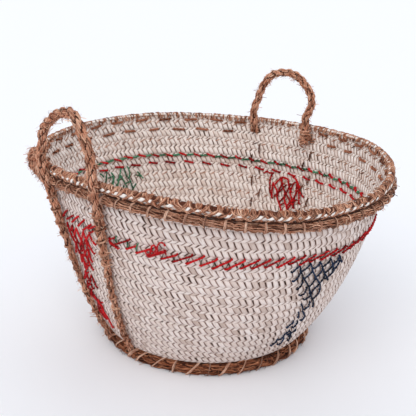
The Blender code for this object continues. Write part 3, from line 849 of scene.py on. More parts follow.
def strand_tree():
    """Lines of edges become ropes of twisted plies, with loose fibres if wanted."""
    tree = new_tree("Twisted strands", STRAND_INPUTS)
    source = add_node(tree, "NodeGroupInput", {}).outputs
    line, swell, factor = ply_lines(tree, source)
    inputs = {"Resolution": source["Sides"], "Radius": source["Ply radius"]}
    ring = result(tree, "GeometryNodeCurvePrimitiveCircle", inputs)
    ring = store(tree, ring, "round", factor)
    mesh = swept(tree, line, ring, Scale=swell)
    radius = source["Fibre radius"]
    hairs = loose_fibres(tree, mesh, source, "Fibres per area", radius, HAIR_HEIGHT_SHARES)
    thick = calculate(tree, "MULTIPLY", radius, MATTED_FIBRE_SHARE)
    matted = loose_fibres(tree, mesh, source, "Matted fibres per area", thick, MATTED_HEIGHT_SHARES)
    both = joined(tree, hairs, matted, mesh)
    place = result(tree, "GeometryNodeInputPosition", {})
    parts = separated(tree, place)
    height = calculate(tree, "MAXIMUM", parts[2], source["Lowest point"])
    inputs = {"Geometry": both, "Position": combined(tree, parts[0], parts[1], height)}
    finish_tree(tree, result(tree, "GeometryNodeSetPosition", inputs), source)
    return tree


def loose_fibres(tree, mesh, source, density, radius, heights):
    """Short bent hairs: the middle and the tip stand at shares of the length above the mesh."""
    inputs = {"Mesh": mesh, "Density": source[density], "Seed": source["Seed"]}
    spots = add_node(tree, "GeometryNodeDistributePointsOnFaces", inputs).outputs
    low = combined(tree, 0.35, 0.0, heights[0])
    high = combined(tree, 1.0, 0.25, heights[1])
    inputs = {
        "Resolution": 3,
        "Start": (0.0, 0.0, 0.0),
        "Middle": scaled(tree, low, source["Fibre length"]),
        "End": scaled(tree, high, source["Fibre length"]),
    }
    hair = result(tree, "GeometryNodeCurveQuadraticBezier", inputs)
    ring = result(tree, "GeometryNodeCurvePrimitiveCircle", {"Resolution": 3, "Radius": radius})
    spin = random_value(tree, 0.0, 2 * math.pi, source["Seed"])
    spin = result(tree, "FunctionNodeEulerToRotation", {0: combined(tree, z=spin)})
    inputs = {0: spots["Rotation"], 1: spin}
    turned = result(tree, "FunctionNodeRotateRotation", inputs, rotation_space="LOCAL")
    inputs = {
        "Points": spots["Points"],
        "Instance": swept(tree, hair, ring),
        "Rotation": turned,
        "Scale": random_value(tree, 0.3, 1.3, source["Seed"]),
    }
    made = result(tree, "GeometryNodeInstanceOnPoints", inputs)
    shade = random_value(tree, 0.0, 1.0, source["Seed"])
    made = store(tree, made, "shade", shade, domain="INSTANCE")
    return result(tree, "GeometryNodeRealizeInstances", {"Geometry": made})


def leaf_float(tree, source, kind):
    """One float of the plait: a bent, leaning strip of leaf."""
    height = source[kind + " height"]
    size = combined(tree, source[kind + " width"], height, source["Thickness"])
    inputs = {"Size": size, "Vertices X": 2, "Vertices Y": 4, "Vertices Z": 2}
    strip = result(tree, "GeometryNodeMeshCube", inputs)
    place = result(tree, "GeometryNodeInputPosition", {})
    grain = calculate_vector(tree, "DIVIDE", place, size)
    strip = store(tree, strip, "grain", grain, kind="FLOAT_VECTOR")
    y = separated(tree, place)[1]
    slant = calculate(tree, "MULTIPLY", y, source[kind + " lean"])
    share = calculate(tree, "DIVIDE", calculate(tree, "MULTIPLY", y, 2.0), height)
    dip = calculate(tree, "MULTIPLY", share, share)
    dip = calculate(tree, "MULTIPLY", dip, source["Bulge"])
    dip = calculate(tree, "MULTIPLY", dip, -1.0)
    inputs = {"Geometry": strip, "Offset": combined(tree, slant, 0.0, dip)}
    return result(tree, "GeometryNodeSetPosition", inputs)


PLAIT_INPUTS = (
    ("Geometry", "Geometry", None),
    ("Long width", "Float", 0.006),
    ("Long height", "Float", 0.009),
    ("Long lean", "Float", -0.5),
    ("Short width", "Float", 0.006),
    ("Short height", "Float", 0.005),
    ("Short lean", "Float", 1.2),
    ("Thickness", "Float", 0.0006),
    ("Bulge", "Float", 0.001),
    ("Material", "Material", None),
)


def plait_tree():
    """Points on the bowl become the long and short floats of a herringbone plait."""
    tree = new_tree("Herringbone plait", PLAIT_INPUTS)
    source = add_node(tree, "NodeGroupInput", {}).outputs
    turn = result(tree, "FunctionNodeEulerToRotation", {0: read(tree, "turn", "FLOAT_VECTOR")})
    size = read(tree, "size", "FLOAT_VECTOR")
    long = read(tree, "long", "BOOLEAN")
    short = result(tree, "FunctionNodeBooleanMath", {0: long}, operation="NOT")
    floats = []
    for kind, chosen in (("Long", long), ("Short", short)):
        inputs = {
            "Points": source["Geometry"],
            "Selection": chosen,
            "Instance": leaf_float(tree, source, kind),
            "Rotation": turn,
            "Scale": size,
        }
        floats.append(result(tree, "GeometryNodeInstanceOnPoints", inputs))
    finish_tree(tree, joined(tree, *floats), source)
    return tree


def tree_named(name):
    """The tree of that name, built the first time it is asked for."""
    found = bpy.data.node_groups.get(name)
    if found:
        return found
    makers = {"Twisted strands": strand_tree, "Herringbone plait": plait_tree}
    return makers[name]()


def grow(thing, tree, values):
    """Runs a tree on a guide and keeps the result as the guide's own mesh."""
    modifier = thing.modifiers.new(tree.name, "NODES")
    modifier.node_group = tree
    for item in tree.interface.items_tree:
        if item.in_out == "INPUT" and item.name in values:
            modifier[item.identifier] = values[item.name]
    graph = bpy.context.evaluated_depsgraph_get()
    mesh = bpy.data.meshes.new_from_object(
        thing.evaluated_get(graph), preserve_all_data_layers=True, depsgraph=graph
    )
    thing.modifiers.remove(modifier)
    thing.data = mesh
    mesh.name = thing.name
    if not mesh.polygons:
        raise RuntimeError(thing.name + " came out empty")
    return thing


def add_object(name, data):
    thing = bpy.data.objects.new(name, data)
    bpy.context.scene.collection.objects.link(thing)
    return thing


def guide_lines(name, lines):
    """Lines of points as one mesh of edges."""
    points = []
    edges = []
    for line in lines:
        start = len(points)
        points.extend(line)
        edges.extend((index, index + 1) for index in range(start, len(points) - 1))
    mesh = bpy.data.meshes.new(name)
    mesh.from_pydata(points, edges, [])
    return add_object(name, mesh)


def set_attribute(mesh, name, kind, values):
    layer = mesh.attributes.new(name, kind, "POINT")
    flat = values
    field = "value"
    if kind == "FLOAT_VECTOR":
        flat = [part for value in values for part in value]
        field = "vector"
    layer.data.foreach_set(field, flat)


def twist(name, lines, radius, finish, plies=1, lay=SINGLE_LAY, slimming=None, **more):
    """Strands along lines: the outer radius is that of the whole rope or yarn."""
    share = 1.0
    if plies > 1:
        side = math.sin(math.pi / plies)
        share = PLY_OVERLAP * side / (1 + side)
    values = {
        "Ply radius": radius * share,
        "Ply offset": radius * (1 - share),
        "Plies": plies,
        "Lay": lay,
        "Sides": STRAND_SIDES,
        "Material": material_named(finish),
        **more,
    }
    thing = guide_lines(name, lines)
    if slimming:
        set_attribute(thing.data, "slimming", "FLOAT", slimming * len(lines))
    return grow(thing, tree_named("Twisted strands"), values)


def laid_plies(points, radius, plies, lay, slimming=None):
    """Lines that wind round a line of points like the plies of a rope."""
    tangent = (points[1] - points[0]).normalized()
    side = tangent.orthogonal().normalized()
    lines = [[] for ply in range(plies)]
    turned = 0.0
    for index, point in enumerate(points):
        ahead = points[min(index + 1, len(points) - 1)] - points[max(index - 1, 0)]
        tangent = ahead.normalized()
        side = (side - tangent * side.dot(tangent)).normalized()
        across = tangent.cross(side)
        if index:
            turned += (point - points[index - 1]).length / lay * 2 * math.pi
        for ply in range(plies):
            turn = turned + 2 * math.pi * ply / plies
            reach = radius * (1 - slimming[index]) if slimming else radius
            lines[ply].append(point + (side * math.cos(turn) + across * math.sin(turn)) * reach)
    return lines


def rope_strands(name, points, radius, plies, lay, finish, slimming=None, **more):
    """A rope of plies, each twisted the other way from six uneven strands."""
    offset = radius * ROPE_PLY_OFFSET[plies]
    lines = laid_plies(points, offset, plies, lay, slimming)
    values = {**STRAND_FORM, "Wobble": 0.0030, "Unevenness": 0.5, **more}
    return twist(name, lines, radius - offset, finish, 6, lay * STRAND_LAY_SHARE, slimming, **values)


def loose_bundle(name, points, radius, count, lay, finish, **more):
    """A rope of many thin strands that lie almost side by side."""
    lines = laid_plies(points, radius * BUNDLE_REACH_SHARE, count, lay)
    values = {**STRAND_FORM, "Wobble": 0.0056, "Unevenness": 0.8, **more}
    return twist(name, lines, radius * BUNDLE_STRAND_SHARE, finish, 2, BUNDLE_STRAND_LAY, **values)


def rope_shade_core(name, points, radius, lowest=-1.0, slimming=None):
    """Dark filling that shows in the crevices of a rope: painted shade, since a real rope's crevices are
    dark only from shade.
    """
    values = {"Sides": 8, "Step": 0.003, "Lowest point": lowest}
    return twist(name, [points], radius, "Painted crevice shade", slimming=slimming, **values)


def sew(name, lines, twine, node, **more):
    """Twine of one kind along lines, as a finished piece of its node."""
    settle(twist(name, lines, **TWINES[twine], **more), "coir_twine", node)


def slimming_at(height):
    """How much thinner a handle's rope is at a height: it thins down its legs."""
    share = (LEG_FULL_HEIGHT - height) / (LEG_FULL_HEIGHT - LEG_SLIM_HEIGHT)
    return LEG_SLIMMING * max(0.0, min(1.0, share))


def leg_out(angle, rise):
    """How far the middle of a leg's rope stands off the wall."""
    return LEG_OUT - HANDLE_RADIUS * slimming_at(skin(angle, rise).z)


def leg_point(angles, rise):
    angle = leg_angle(angles, rise)
    return wall_point(angle, rise, leg_out(angle, rise))


def settle(thing, slot, *nodes):
    """Puts a finished piece on the basket and hides the nodes it stands for. The slot is not used."""
    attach(thing, "basket")
    if nodes:
        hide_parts(*nodes)
    return thing


# Materials

WHITE = (1.0, 1.0, 1.0)
STREAK_TONE = (0.78, 0.70, 0.66)
PATCH_TONE = (0.74, 0.66, 0.62)
# The dark fibre tone is partly the coir's own and partly painted shade: the darkest strands stand in for
# the shade between strands.
DARK_FIBRE_TONE = (0.20, 0.14, 0.12)
PLAIN_FIBRE_TONE = (0.92, 0.90, 0.89)


def new_material(name):
    material = bpy.data.materials.new(name)
    material.use_nodes = True
    return material, material.node_tree, material.node_tree.nodes["Principled BSDF"]


def attribute(tree, name, output="Fac"):
    return add_node(tree, "ShaderNodeAttribute", {}, attribute_name=name).outputs[output]


def ramp(tree, value, stops):
    made = add_node(tree, "ShaderNodeValToRGB", {0: value})
    points = made.color_ramp.elements
    while len(points) < len(stops):
        points.new(1.0)
    for point, (place, colour) in zip(points, stops):
        point.position = place
        point.color = (*colour, 1.0)
    return made.outputs[0]


def bump(tree, shader, height, strength, distance):
    inputs = {"Height": height, "Strength": strength, "Distance": distance}
    made = add_node(tree, "ShaderNodeBump", inputs)
    tree.links.new(made.outputs[0], shader.inputs["Normal"])


def blend(first, second, share):
    return tuple(start + (end - start) * share for start, end in zip(first, second))


def palm_material(name, light, dark, edge):
    """Dried palm leaf: streaks along each strip, strips of unlike tone, and painted shade that darkens
    each float towards its long edges, where it dips into the gaps.
    """
    material, tree, shader = new_material(name)
    parts = separated(tree, attribute(tree, "grain", "Vector"))
    shade = attribute(tree, "shade")
    lines = streaks(tree, (parts[0], 9.0), (parts[1], 1.1), (shade, 90.0), detail=3.0)
    stops = (
        (0.0, dark),
        (0.16, blend(dark, light, 0.7)),
        (0.5, light),
        (1.0, blend(light, WHITE, 0.18)),
    )
    tone = ramp(tree, shade, stops)
    lined = ramp(tree, lines, ((0.30, STREAK_TONE), (0.50, WHITE)))
    # Painted shade: the edge tone darkens each float towards its long edges, where it dips into the
    # gaps.
    rim = ramp(tree, calculate(tree, "ABSOLUTE", parts[0]), ((0.36, WHITE), (0.5, edge)))
    colour = multiplied(tree, multiplied(tree, tone, lined), rim)
    set_finish(tree, shader, colour, roughness=0.62, gloss=0.3)
    bump(tree, shader, lines, strength=0.35, distance=0.0004)
    return material


def streaks(tree, across, along, shade, detail):
    """Noise drawn out in one direction: each of its three places comes with its scale."""
    places = [calculate(tree, "MULTIPLY", place, scale) for place, scale in (across, along, shade)]
    return noise(tree, combined(tree, *places), 1.0, detail)[0]


def set_finish(tree, shader, colour, roughness, gloss):
    tree.links.new(colour, shader.inputs["Base Color"])
    shader.inputs["Roughness"].default_value = roughness
    shader.inputs["Specular IOR Level"].default_value = gloss


def fibre_material(name, dark, middle, light):
    """Twisted fibres: streaks that run along each ply, from the strand's own lengths, and a random tone
    for each strand, partly the fibre's own and partly painted shade between the strands.
    """
    material, tree, shader = new_material(name)
    shade = attribute(tree, "shade")
    along = (attribute(tree, "along"), 90.0)
    around = (attribute(tree, "round"), 11.0)
    lines = streaks(tree, along, around, (shade, 60.0), detail=4.0)
    colour = ramp(tree, lines, ((0.38, dark), (0.5, middle), (0.61, light)))
    place = add_node(tree, "ShaderNodeTexCoord", {}).outputs["Object"]
    patch = ramp(tree, noise(tree, place, 60.0, 2.0)[0], ((0.36, PATCH_TONE), (0.60, WHITE)))
    # Random tone per strand: partly the coir's own, partly painted shade, as the darkest strands stand
    # in for the shade between strands.
    tone = ramp(tree, shade, ((0.0, DARK_FIBRE_TONE), (0.36, PLAIN_FIBRE_TONE), (1.0, WHITE)))
    colour = multiplied(tree, multiplied(tree, colour, patch), tone)
    set_finish(tree, shader, colour, roughness=0.85, gloss=0.25)
    bump(tree, shader, lines, strength=0.6, distance=0.0006)
    return material


def multiplied(tree, first, second):
    """Two colours multiplied, so that white leaves the other as it is."""
    made = tree.nodes.new("ShaderNodeMix")
    made.data_type = "RGBA"
    made.blend_type = "MULTIPLY"
    made.inputs[0].default_value = 1.0
    tree.links.new(first, made.inputs[6])
    tree.links.new(second, made.inputs[7])
    return made.outputs[2]


def shell(name, rings, finish):
    """Closed surface through rings of points, the last ring joined to the first."""
    points = [point for ring in rings for point in ring]
    count = len(rings[0])
    faces = []
    for row in range(len(rings)):
        below = row * count
        above = (row + 1) % len(rings) * count
        for index in range(count):
            after = (index + 1) % count
            faces.append((below + index, below + after, above + after, above + index))
    mesh = bpy.data.meshes.new(name)
    mesh.from_pydata(points, [], faces)
    mesh.shade_smooth()
    mesh.materials.append(material_named(finish))
    return add_object(name, mesh)


TONE_NAMES = {
    palm_material: ("light", "dark", "edge"),
    fibre_material: ("dark", "middle", "light"),
}
FINISHES = {
    # Palm leaf and Inner palm leaf are one leaf: the outer copy is darker, painted shade that makes up
    # for the stronger light on the outside of the bowl.
    "Palm leaf": (palm_material, (0.82, 0.70, 0.645), (0.58, 0.45, 0.39), (0.40, 0.255, 0.20)),
    "Inner palm leaf": (palm_material, (0.99, 0.905, 0.85), (0.82, 0.69, 0.62), (0.56, 0.39, 0.32)),
    "Lip leaf": (palm_material, (0.95, 0.89, 0.84), (0.84, 0.75, 0.69), WHITE),
    # The next finish is painted shade: a dark sheet behind the plait that shows in the gaps between
    # floats.
    "Palm gap shade": (palm_material, (0.17, 0.085, 0.055), (0.06, 0.03, 0.02), WHITE),
    "Coir rope": (fibre_material, (0.14, 0.034, 0.014), (0.80, 0.34, 0.20), (1.0, 0.72, 0.53)),
    "Rim coir": (fibre_material, (0.06, 0.013, 0.005), (0.54, 0.195, 0.10), (1.0, 0.68, 0.49)),
    "Dark coir rope": (fibre_material, (0.03, 0.008, 0.004), (0.27, 0.075, 0.030), (0.66, 0.30, 0.16)),
    # Painted shade: the dark filling of the ropes' crevices and the dark strand above the rim rope.
    "Painted crevice shade": (fibre_material, (0.02, 0.006, 0.003), (0.07, 0.022, 0.011), (0.14, 0.05, 0.028)),
    "Coir twine": (fibre_material, (0.30, 0.12, 0.07), (0.70, 0.38, 0.26), (0.98, 0.74, 0.58)),
    "Stitch twine": (fibre_material, (0.20, 0.06, 0.03), (0.46, 0.18, 0.10), (0.66, 0.33, 0.21)),
    "Dark twine": (fibre_material, (0.05, 0.018, 0.010), (0.16, 0.065, 0.038), (0.34, 0.17, 0.11)),
    "Red yarn": (fibre_material, (0.36, 0.003, 0.005), (0.68, 0.008, 0.012), (0.90, 0.035, 0.045)),
    "Green yarn": (fibre_material, (0.03, 0.15, 0.08), (0.08, 0.32, 0.17), (0.24, 0.54, 0.34)),
    "Dull yarn": (fibre_material, (0.03, 0.035, 0.022), (0.09, 0.10, 0.065), (0.22, 0.22, 0.16)),
    "Navy yarn": (fibre_material, (0.004, 0.008, 0.022), (0.012, 0.026, 0.07), (0.05, 0.09, 0.18)),
}


def material_named(name):
    """The finish of that name, made the first time it is asked for."""
    found = bpy.data.materials.get("Basket " + name)
    if found:
        return found
    maker = FINISHES[name][0]
    settings = bpy.context.scene.basket_colours
    tones = [getattr(settings, tone_key(name, tone)) for tone in TONE_NAMES[maker]]
    return maker("Basket " + name, *tones)


def tone_key(finish, tone):
    return finish.lower().replace(" ", "_") + "_" + tone


# Bowl


def ring_angles(count):
    return [2 * math.pi * index / count for index in range(count)]


def bowl_gap_shade():
    """Dark shell that lies between the two faces of the plait: painted shade that shows in the gaps
    between the floats.
    """
    angles = ring_angles(128)
    rises = [CORE_FOOT_SHARE + row / CORE_ROWS * CORE_REACH_SHARE for row in range(CORE_ROWS + 1)]
    rings = [[wall_point(angle, rise, -CORE_OUTER_DEPTH) for angle in angles] for rise in rises]
    rises.reverse()
    rings += [[wall_point(angle, rise, -CORE_INNER_DEPTH) for angle in angles] for rise in rises]
    return shell("bowl_gap_shade", rings, "Palm gap shade")


def row_rises(pitch):
    """Rises at the borders of the plait's rows, from the foot to the lip."""
    turns = even_steps(0.0, 1.0)
    return spaced(turns, [skin(ROW_ANGLE, turn) for turn in turns], pitch)


def hole_places():
    """Where the right handle's legs pass through the wall."""
    places = []
    for angles in (RIGHT_FRONT_ANGLES, RIGHT_BACK_ANGLES):
        rise = leg_rise(angles, HOLE_DEPTH)
        places.append(skin(leg_angle(angles, rise), rise))
    return places


class Floats:
    """Where the floats of one face of the plait lie, and how they are turned."""

    def __init__(self, seed):
        self.chance = random.Random(seed)
        self.places = []
        self.turns = []
        self.sizes = []
        self.longs = []
        self.shades = []

    def add(self, place, across, up, out, size, long, tall=1.0):
        """One float: size and tall are shares of its usual width and height."""
        chance = self.chance
        lift = out * chance.uniform(-0.00012, 0.00012)
        self.places.append(place + lift)
        sway = Matrix.Rotation(math.radians(chance.gauss(0, 3.2)), 3, out)
        turn = Matrix((sway @ across, sway @ up, out)).transposed()
        self.turns.append(turn.to_euler())
        wide = chance.uniform(0.89, 1.05)
        if chance.random() < 0.08:
            wide *= 0.80
        self.sizes.append((size * wide, chance.uniform(0.95, 1.04) * tall, 1.0))
        self.longs.append(long)
        self.shades.append(chance.random())

    def grow(self, name, settings, finish):
        """The floats as one finished piece of palm leaf."""
        mesh = bpy.data.meshes.new(name)
        mesh.from_pydata(self.places, [], [])
        set_attribute(mesh, "turn", "FLOAT_VECTOR", self.turns)
        set_attribute(mesh, "size", "FLOAT_VECTOR", self.sizes)
        set_attribute(mesh, "long", "BOOLEAN", self.longs)
        set_attribute(mesh, "shade", "FLOAT", self.shades)
        values = {"Material": material_named(finish)}
        for label, kind, default in PLAIT_INPUTS:
            if kind == "Float":
                values[label] = getattr(settings, label.lower().replace(" ", "_"))
        return grow(add_object(name, mesh), tree_named("Herringbone plait"), values)


def wall_floats(settings, inside):
    """Rows of long floats leaning left and short floats leaning right."""
    floats = Floats(11 if inside else 7)
    borders = row_rises(settings.row_pitch)
    holes = hole_places()
    turns = even_steps()
    for row, (low, high) in enumerate(zip(borders, borders[1:])):
        halves = (
            (True, high - (high - low) * settings.long_share / 2, settings.long_sink),
            (False, low + (high - low) * (1 - settings.long_share) / 2, settings.short_sink),
        )
        for long, middle, deep in halves:
            if inside:
                deep = WALL - deep
            points = [skin(turn, middle) for turn in turns]
            length = line_length(points)
            count = round(length / settings.column_pitch)
            pitch = length / count / settings.column_pitch
            for angle in spread_evenly(turns, points, count)[:-1]:
                angle += (row % 2) * ROW_SHIFT_SHARE * 2 * math.pi / count
                along, up, out = slopes(angle, middle)
                place = skin(angle, middle) - out * deep
                if min((place - hole).length for hole in holes) < HANDLE_RADIUS:
                    continue
                if inside:
                    along, out = -along, -out
                floats.add(place, along, up, out, pitch, long)
    return floats


def seam_stitches(settings):
    """Short twine dashes inside, along the seams between the sewn courses."""
    chance = random.Random(5)
    turns = even_steps()
    lines = []
    for rise in row_rises(settings.row_pitch)[2:-1:2]:
        points = [skin(turn, rise) for turn in turns]
        for angle in spaced(turns, points, settings.seam_pitch)[:-1]:
            angle += chance.uniform(-0.004, 0.004)
            along, up, out = slopes(angle, rise)
            middle = skin(angle, rise) - out * (WALL + 0.0001)
            reach = -along * chance.uniform(0.0026, 0.0042) + up * chance.uniform(0.0012, 0.0028)
            sunk = out * SEAM_SINK
            lines.append([middle - reach + sunk, middle - out * 0.0003, middle + reach + sunk])
    return lines


def base_place(angle, share, height, gap):
    """Place on the base at a share of the way to the wall, and the level way out to it."""
    middle = Vector((CENTRE_SHIFT_X - FOOT_SHIFT, CENTRE_SHIFT_Y, 0))
    edge = wall_point(angle, 0, -WALL - gap)
    place = middle + (edge - middle) * share
    place.z = height
    return place, Vector((edge.x - middle.x, edge.y - middle.y, 0)).normalized()


def base_floats(settings, height, inside):
    """Rings of floats on the flat base, out from the middle."""
    floats = Floats(23 if inside else 29)
    radius = FOOT_WIDTH / 2
    rows = round(radius / settings.row_pitch)
    out = Vector((0, 0, 1 if inside else -1))
    for row in range(rows):
        for long in (True, False):
            share = (row + (LONG_RING_SHARE if long else SHORT_RING_SHARE)) / rows
            count = max(5, round(2 * math.pi * share * radius / settings.column_pitch))
            for index in range(count):
                angle = 2 * math.pi * (index + 0.5 * (row % 2)) / count
                place, up = base_place(angle, min(share, BASE_EDGE_SHARE), height, 2 * CLEAR)
                floats.add(place, up.cross(out), up, out, 1.0, long)
    return floats


def base_gap_shade(low, high):
    """Dark disc that lies between the two faces of the base's plait: painted shade that shows in the
    gaps between the floats.
    """
    rings = []
    for height, shares in ((low, DISC_SHARES), (high, reversed(DISC_SHARES))):
        for share in shares:
            ring = [base_place(angle, share, height, CLEAR)[0] for angle in ring_angles(96)]
            rings.append(ring)
    return shell("base_gap_shade", rings, "Palm gap shade")


def lip_ring(name, section, finish):
    """Closed strip round the lip, with one section of depths and distances out."""
    angles = ring_angles(160)
    rings = [[below_lip(angle, depth, out) for angle in angles] for depth, out in section]
    return shell(name, rings, finish)


# Lip and rim


def leaf_ends(pitch):
    """Ends of the bundle's leaf that stand out between the turns of the binding."""
    floats = Floats(37)
    chance = floats.chance
    for angle in spaced_angles(0.0, 2 * math.pi, WRAP_DEPTH, pitch)[:-1]:
        if chance.random() < 0.10:
            continue
        turned = turn_angle(angle, WRAP_DEPTH, pitch / 2 + chance.uniform(-0.0014, 0.0014))
        rise = rise_at(turned, LEAF_END_DEPTH + chance.uniform(-0.0007, 0.0007))
        along, up, out = slopes(turned, rise)
        slant = Matrix.Rotation(math.radians(chance.uniform(-24, 10)), 3, out)
        size = chance.uniform(0.44, 0.72)
        place = skin(turned, rise) + out * chance.uniform(0.0031, 0.0036)
        floats.add(place, slant @ along, slant @ up, out, size, False, chance.uniform(0.60, 0.90))
    return floats


def lip_wraps(pitch):
    """Twine turns over the lip: they part from each low point to both sides and cross."""
    chance = random.Random(31)
    lines = []
    for angle in spaced_angles(0.0, 2 * math.pi, WRAP_DEPTH, pitch)[:-1]:
        foot = chance.uniform(-0.0012, 0.0006)
        shift = chance.uniform(-0.0012, 0.0012)
        for side in (-1, 1):
            lean = side * pitch * chance.uniform(1.1, 1.7)
            for strand in (-1.5, -0.5, 0.5, 1.5):
                if chance.random() < 0.08:
                    continue
                aside = strand * WRAP_STRAND_PITCH
                low = shift + aside + chance.uniform(-0.0003, 0.0003)
                top = low + lean + aside + chance.uniform(-0.0012, 0.0012)
                end = top + side * pitch * 0.25 + chance.uniform(-0.0016, 0.0016)
                lines.append(wrap_line(chance, angle, foot, low, top, end))
    return lines


def wrap_line(chance, angle, foot, low, top, end):
    """One strand of the binding: up from its low point, over the lip and down inside."""
    swell = chance.uniform(-0.0003, 0.0007)
    line = []
    for index, (depth, out) in enumerate(WRAP_OUTSIDE):
        share = index / 4
        turned = turn_angle(angle, WRAP_DEPTH, low + (top - low) * share)
        line.append(below_lip(turned, depth + foot * (1 - share), out + swell))
    reach = chance.uniform(-0.0012, 0.0046)
    for index, (depth, out) in enumerate(WRAP_INSIDE):
        turned = turn_angle(angle, WRAP_DEPTH, top + (end - top) * (index + 1) / 5)
        depth += reach * (index / 4) ** 2
        line.append(below_lip(turned, depth, out + chance.uniform(-0.0005, 0.0003)))
    return line


def rim_path(first, last, depth=RIM_ROPE_DEPTH, out=RIM_ROPE_OUT):
    count = max(4, round((last - first) / (2 * math.pi) * 140))
    path = []
    for index in range(count + 1):
        angle = first + (last - first) * index / count
        path.append(below_lip(angle, depth, out))
    return path


def over_rope(angle, rise, rope_out, radius, along_leg, lean=0.0):
    """Arc of twine over a rope that lies on the wall."""
    along, up, out = slopes(angle, rise)
    centre = skin(angle, rise) + out * rope_out
    across, shift = (along, up) if along_leg else (up, along)
    line = []
    for turn in range(-TIE_SWEEP, TIE_SWEEP + 1, 32):
        side = math.radians(turn)
        place = centre + across * math.sin(side) * radius + out * math.cos(side) * radius
        line.append(place + shift * lean * turn / TIE_SWEEP)
    return line


def rim_ties(first, last):
    lines = []
    for angle in spaced_angles(first, last, RIM_ROPE_DEPTH, RIM_TIE_PITCH):
        rise = rise_at(angle, RIM_ROPE_DEPTH)
        radius = RIM_ROPE_RADIUS + RIM_TIE_LIFT
        for shift in (-RIM_TIE_PAIR, RIM_TIE_PAIR):
            turned = turn_angle(angle, RIM_ROPE_DEPTH, shift)
            lines.append(over_rope(turned, rise, RIM_ROPE_OUT, radius, False, RIM_TIE_LEAN))
    return lines


def rim_lashing():
    """Thick turns of coir round the whole rim, beside the left handle's back leg."""
    chance = random.Random(41)
    lines = []
    for index in range(LASHING_TURNS):
        share = index / (LASHING_TURNS - 1)
        angle = math.radians(LASHING_START + LASHING_SWEEP * share) + chance.uniform(-0.01, 0.01)
        swell = 1 + 0.5 * math.sin(math.pi * min(1.0, share + 0.12))
        lean = chance.uniform(-0.012, 0.012)
        line = []
        for turn in range(0, 360, 24):
            side = math.radians(turn)
            depth = LASHING_DEPTH - LASHING_REACH * math.cos(side) * (0.8 + 0.2 * swell)
            out = LASHING_OUT + LASHING_SPREAD * swell * math.sin(side)
            turned = turn_angle(angle, LASHING_LEVEL, lean * math.sin(side))
            line.append(below_lip(turned, depth, out + chance.uniform(-0.0008, 0.0008)))
        lines.append(line)
    return lines


def foot_turns():
    """Loose turns where the right handle's front leg comes in through the wall."""
    chance = random.Random(43)
    depth = HOLE_DEPTH + FOOT_TURN_DROP
    angle = leg_at_depth(RIGHT_FRONT_ANGLES, depth)
    along, up, out = slopes(angle, rise_at(angle, depth))
    centre = below_lip(angle, depth, LEG_BEHIND_BINDING)
    lines = []
    for index in range(FOOT_TURNS):
        height = FOOT_TURN_START + FOOT_TURN_PITCH * index + chance.uniform(-0.0012, 0.0012)
        reach = (HANDLE_RADIUS + chance.uniform(-0.0004, 0.0012)) * (0.72 + 0.05 * index)
        lean = chance.uniform(-0.0075, 0.0075)
        line = []
        for turn in range(-150, 151, 25):
            side = math.radians(turn)
            place = centre + along * math.sin(side) * reach - out * math.cos(side) * reach
            line.append(place + up * (height + lean * turn / 150))
        lines.append(line)
    for first, last, low, high in FOOT_STITCHES:
        start = turn_angle(angle, depth, first)
        end = turn_angle(angle, depth, last)
        lines.append(dash(start, end, depth + low, depth + high, FOOT_STITCH_LIFT))
    return lines


def inner_dashes():
    """Two rows of twine dashes inside, by turns high and low."""
    depth = (RIM_DASH_HIGH_DEPTH + RIM_DASH_LOW_DEPTH) / 2
    margin = LEG_MARGIN + RIM_DASH_MARGIN
    start = turn_angle(leg_at_depth(RIGHT_BACK_ANGLES, depth), depth, margin)
    end = turn_angle(leg_at_depth(RIGHT_FRONT_ANGLES, depth), depth, -margin)
    angles = spaced_angles(start, end + 2 * math.pi, depth, RIM_TIE_PITCH)
    chance = random.Random(47)
    lines = []
    for index, (first, last) in enumerate(zip(angles, angles[1:])):
        level = RIM_DASH_LOW_DEPTH if index % 2 else RIM_DASH_HIGH_DEPTH
        level += chance.uniform(-0.0012, 0.0012)
        first = turn_angle(first, depth, chance.uniform(-0.001, 0.003))
        last = turn_angle(last, depth, chance.uniform(-0.003, 0.001))
        slant = chance.uniform(-0.0010, 0.0010)
        lines.append(dash(first, last, level + slant, level - slant, RIM_DASH_LIFT))
    return lines


def straight_stitch(places, radius, inside=False):
    """A stitch of straight lines between places on the wall, pulled in only at its ends."""
    skin_out = -WALL if inside else 0.0
    lift = LAID / 2 + radius * 0.9
    if inside:
        lift = -lift
    corners = [below_lip(angle, depth, skin_out + lift) for angle, depth in places]
    line = [below_lip(*places[0], skin_out - lift)]
    for start, end in zip(corners, corners[1:]):
        count = max(2, round((end - start).length / STITCH_STEP))
        line += [start.lerp(end, index / count) for index in range(count)]
    line.append(corners[-1])
    line.append(below_lip(*places[-1], skin_out - lift))
    return line


def dash(first, last, start_depth, end_depth, lift):
    """A stitch that lies off the inside of the wall by its lift and sinks in at its ends."""
    reach = -(LAID / 2 + lift)
    line = []
    for index in range(DASH_STEPS + 1):
        share = index / DASH_STEPS
        angle = first + (last - first) * share
        depth = start_depth + (end_depth - start_depth) * share
        rise = min(1.0, 4 * min(share, 1 - share) + 0.05)
        line.append(below_lip(angle, depth, -WALL + reach * (2 * rise - 1)))
    return line


# Ropes of the foot and the handles


def base_rope_point(angle, out=0.0, lift=0.0):
    foot = skin(angle, 0)
    normal = slopes(angle, 0)[2]
    side = Vector((normal.x, normal.y, 0)).normalized()
    flat = Vector((foot.x, foot.y, BASE_ROPE_CENTRE + lift))
    return flat + side * (out - BASE_ROPE_INSET)


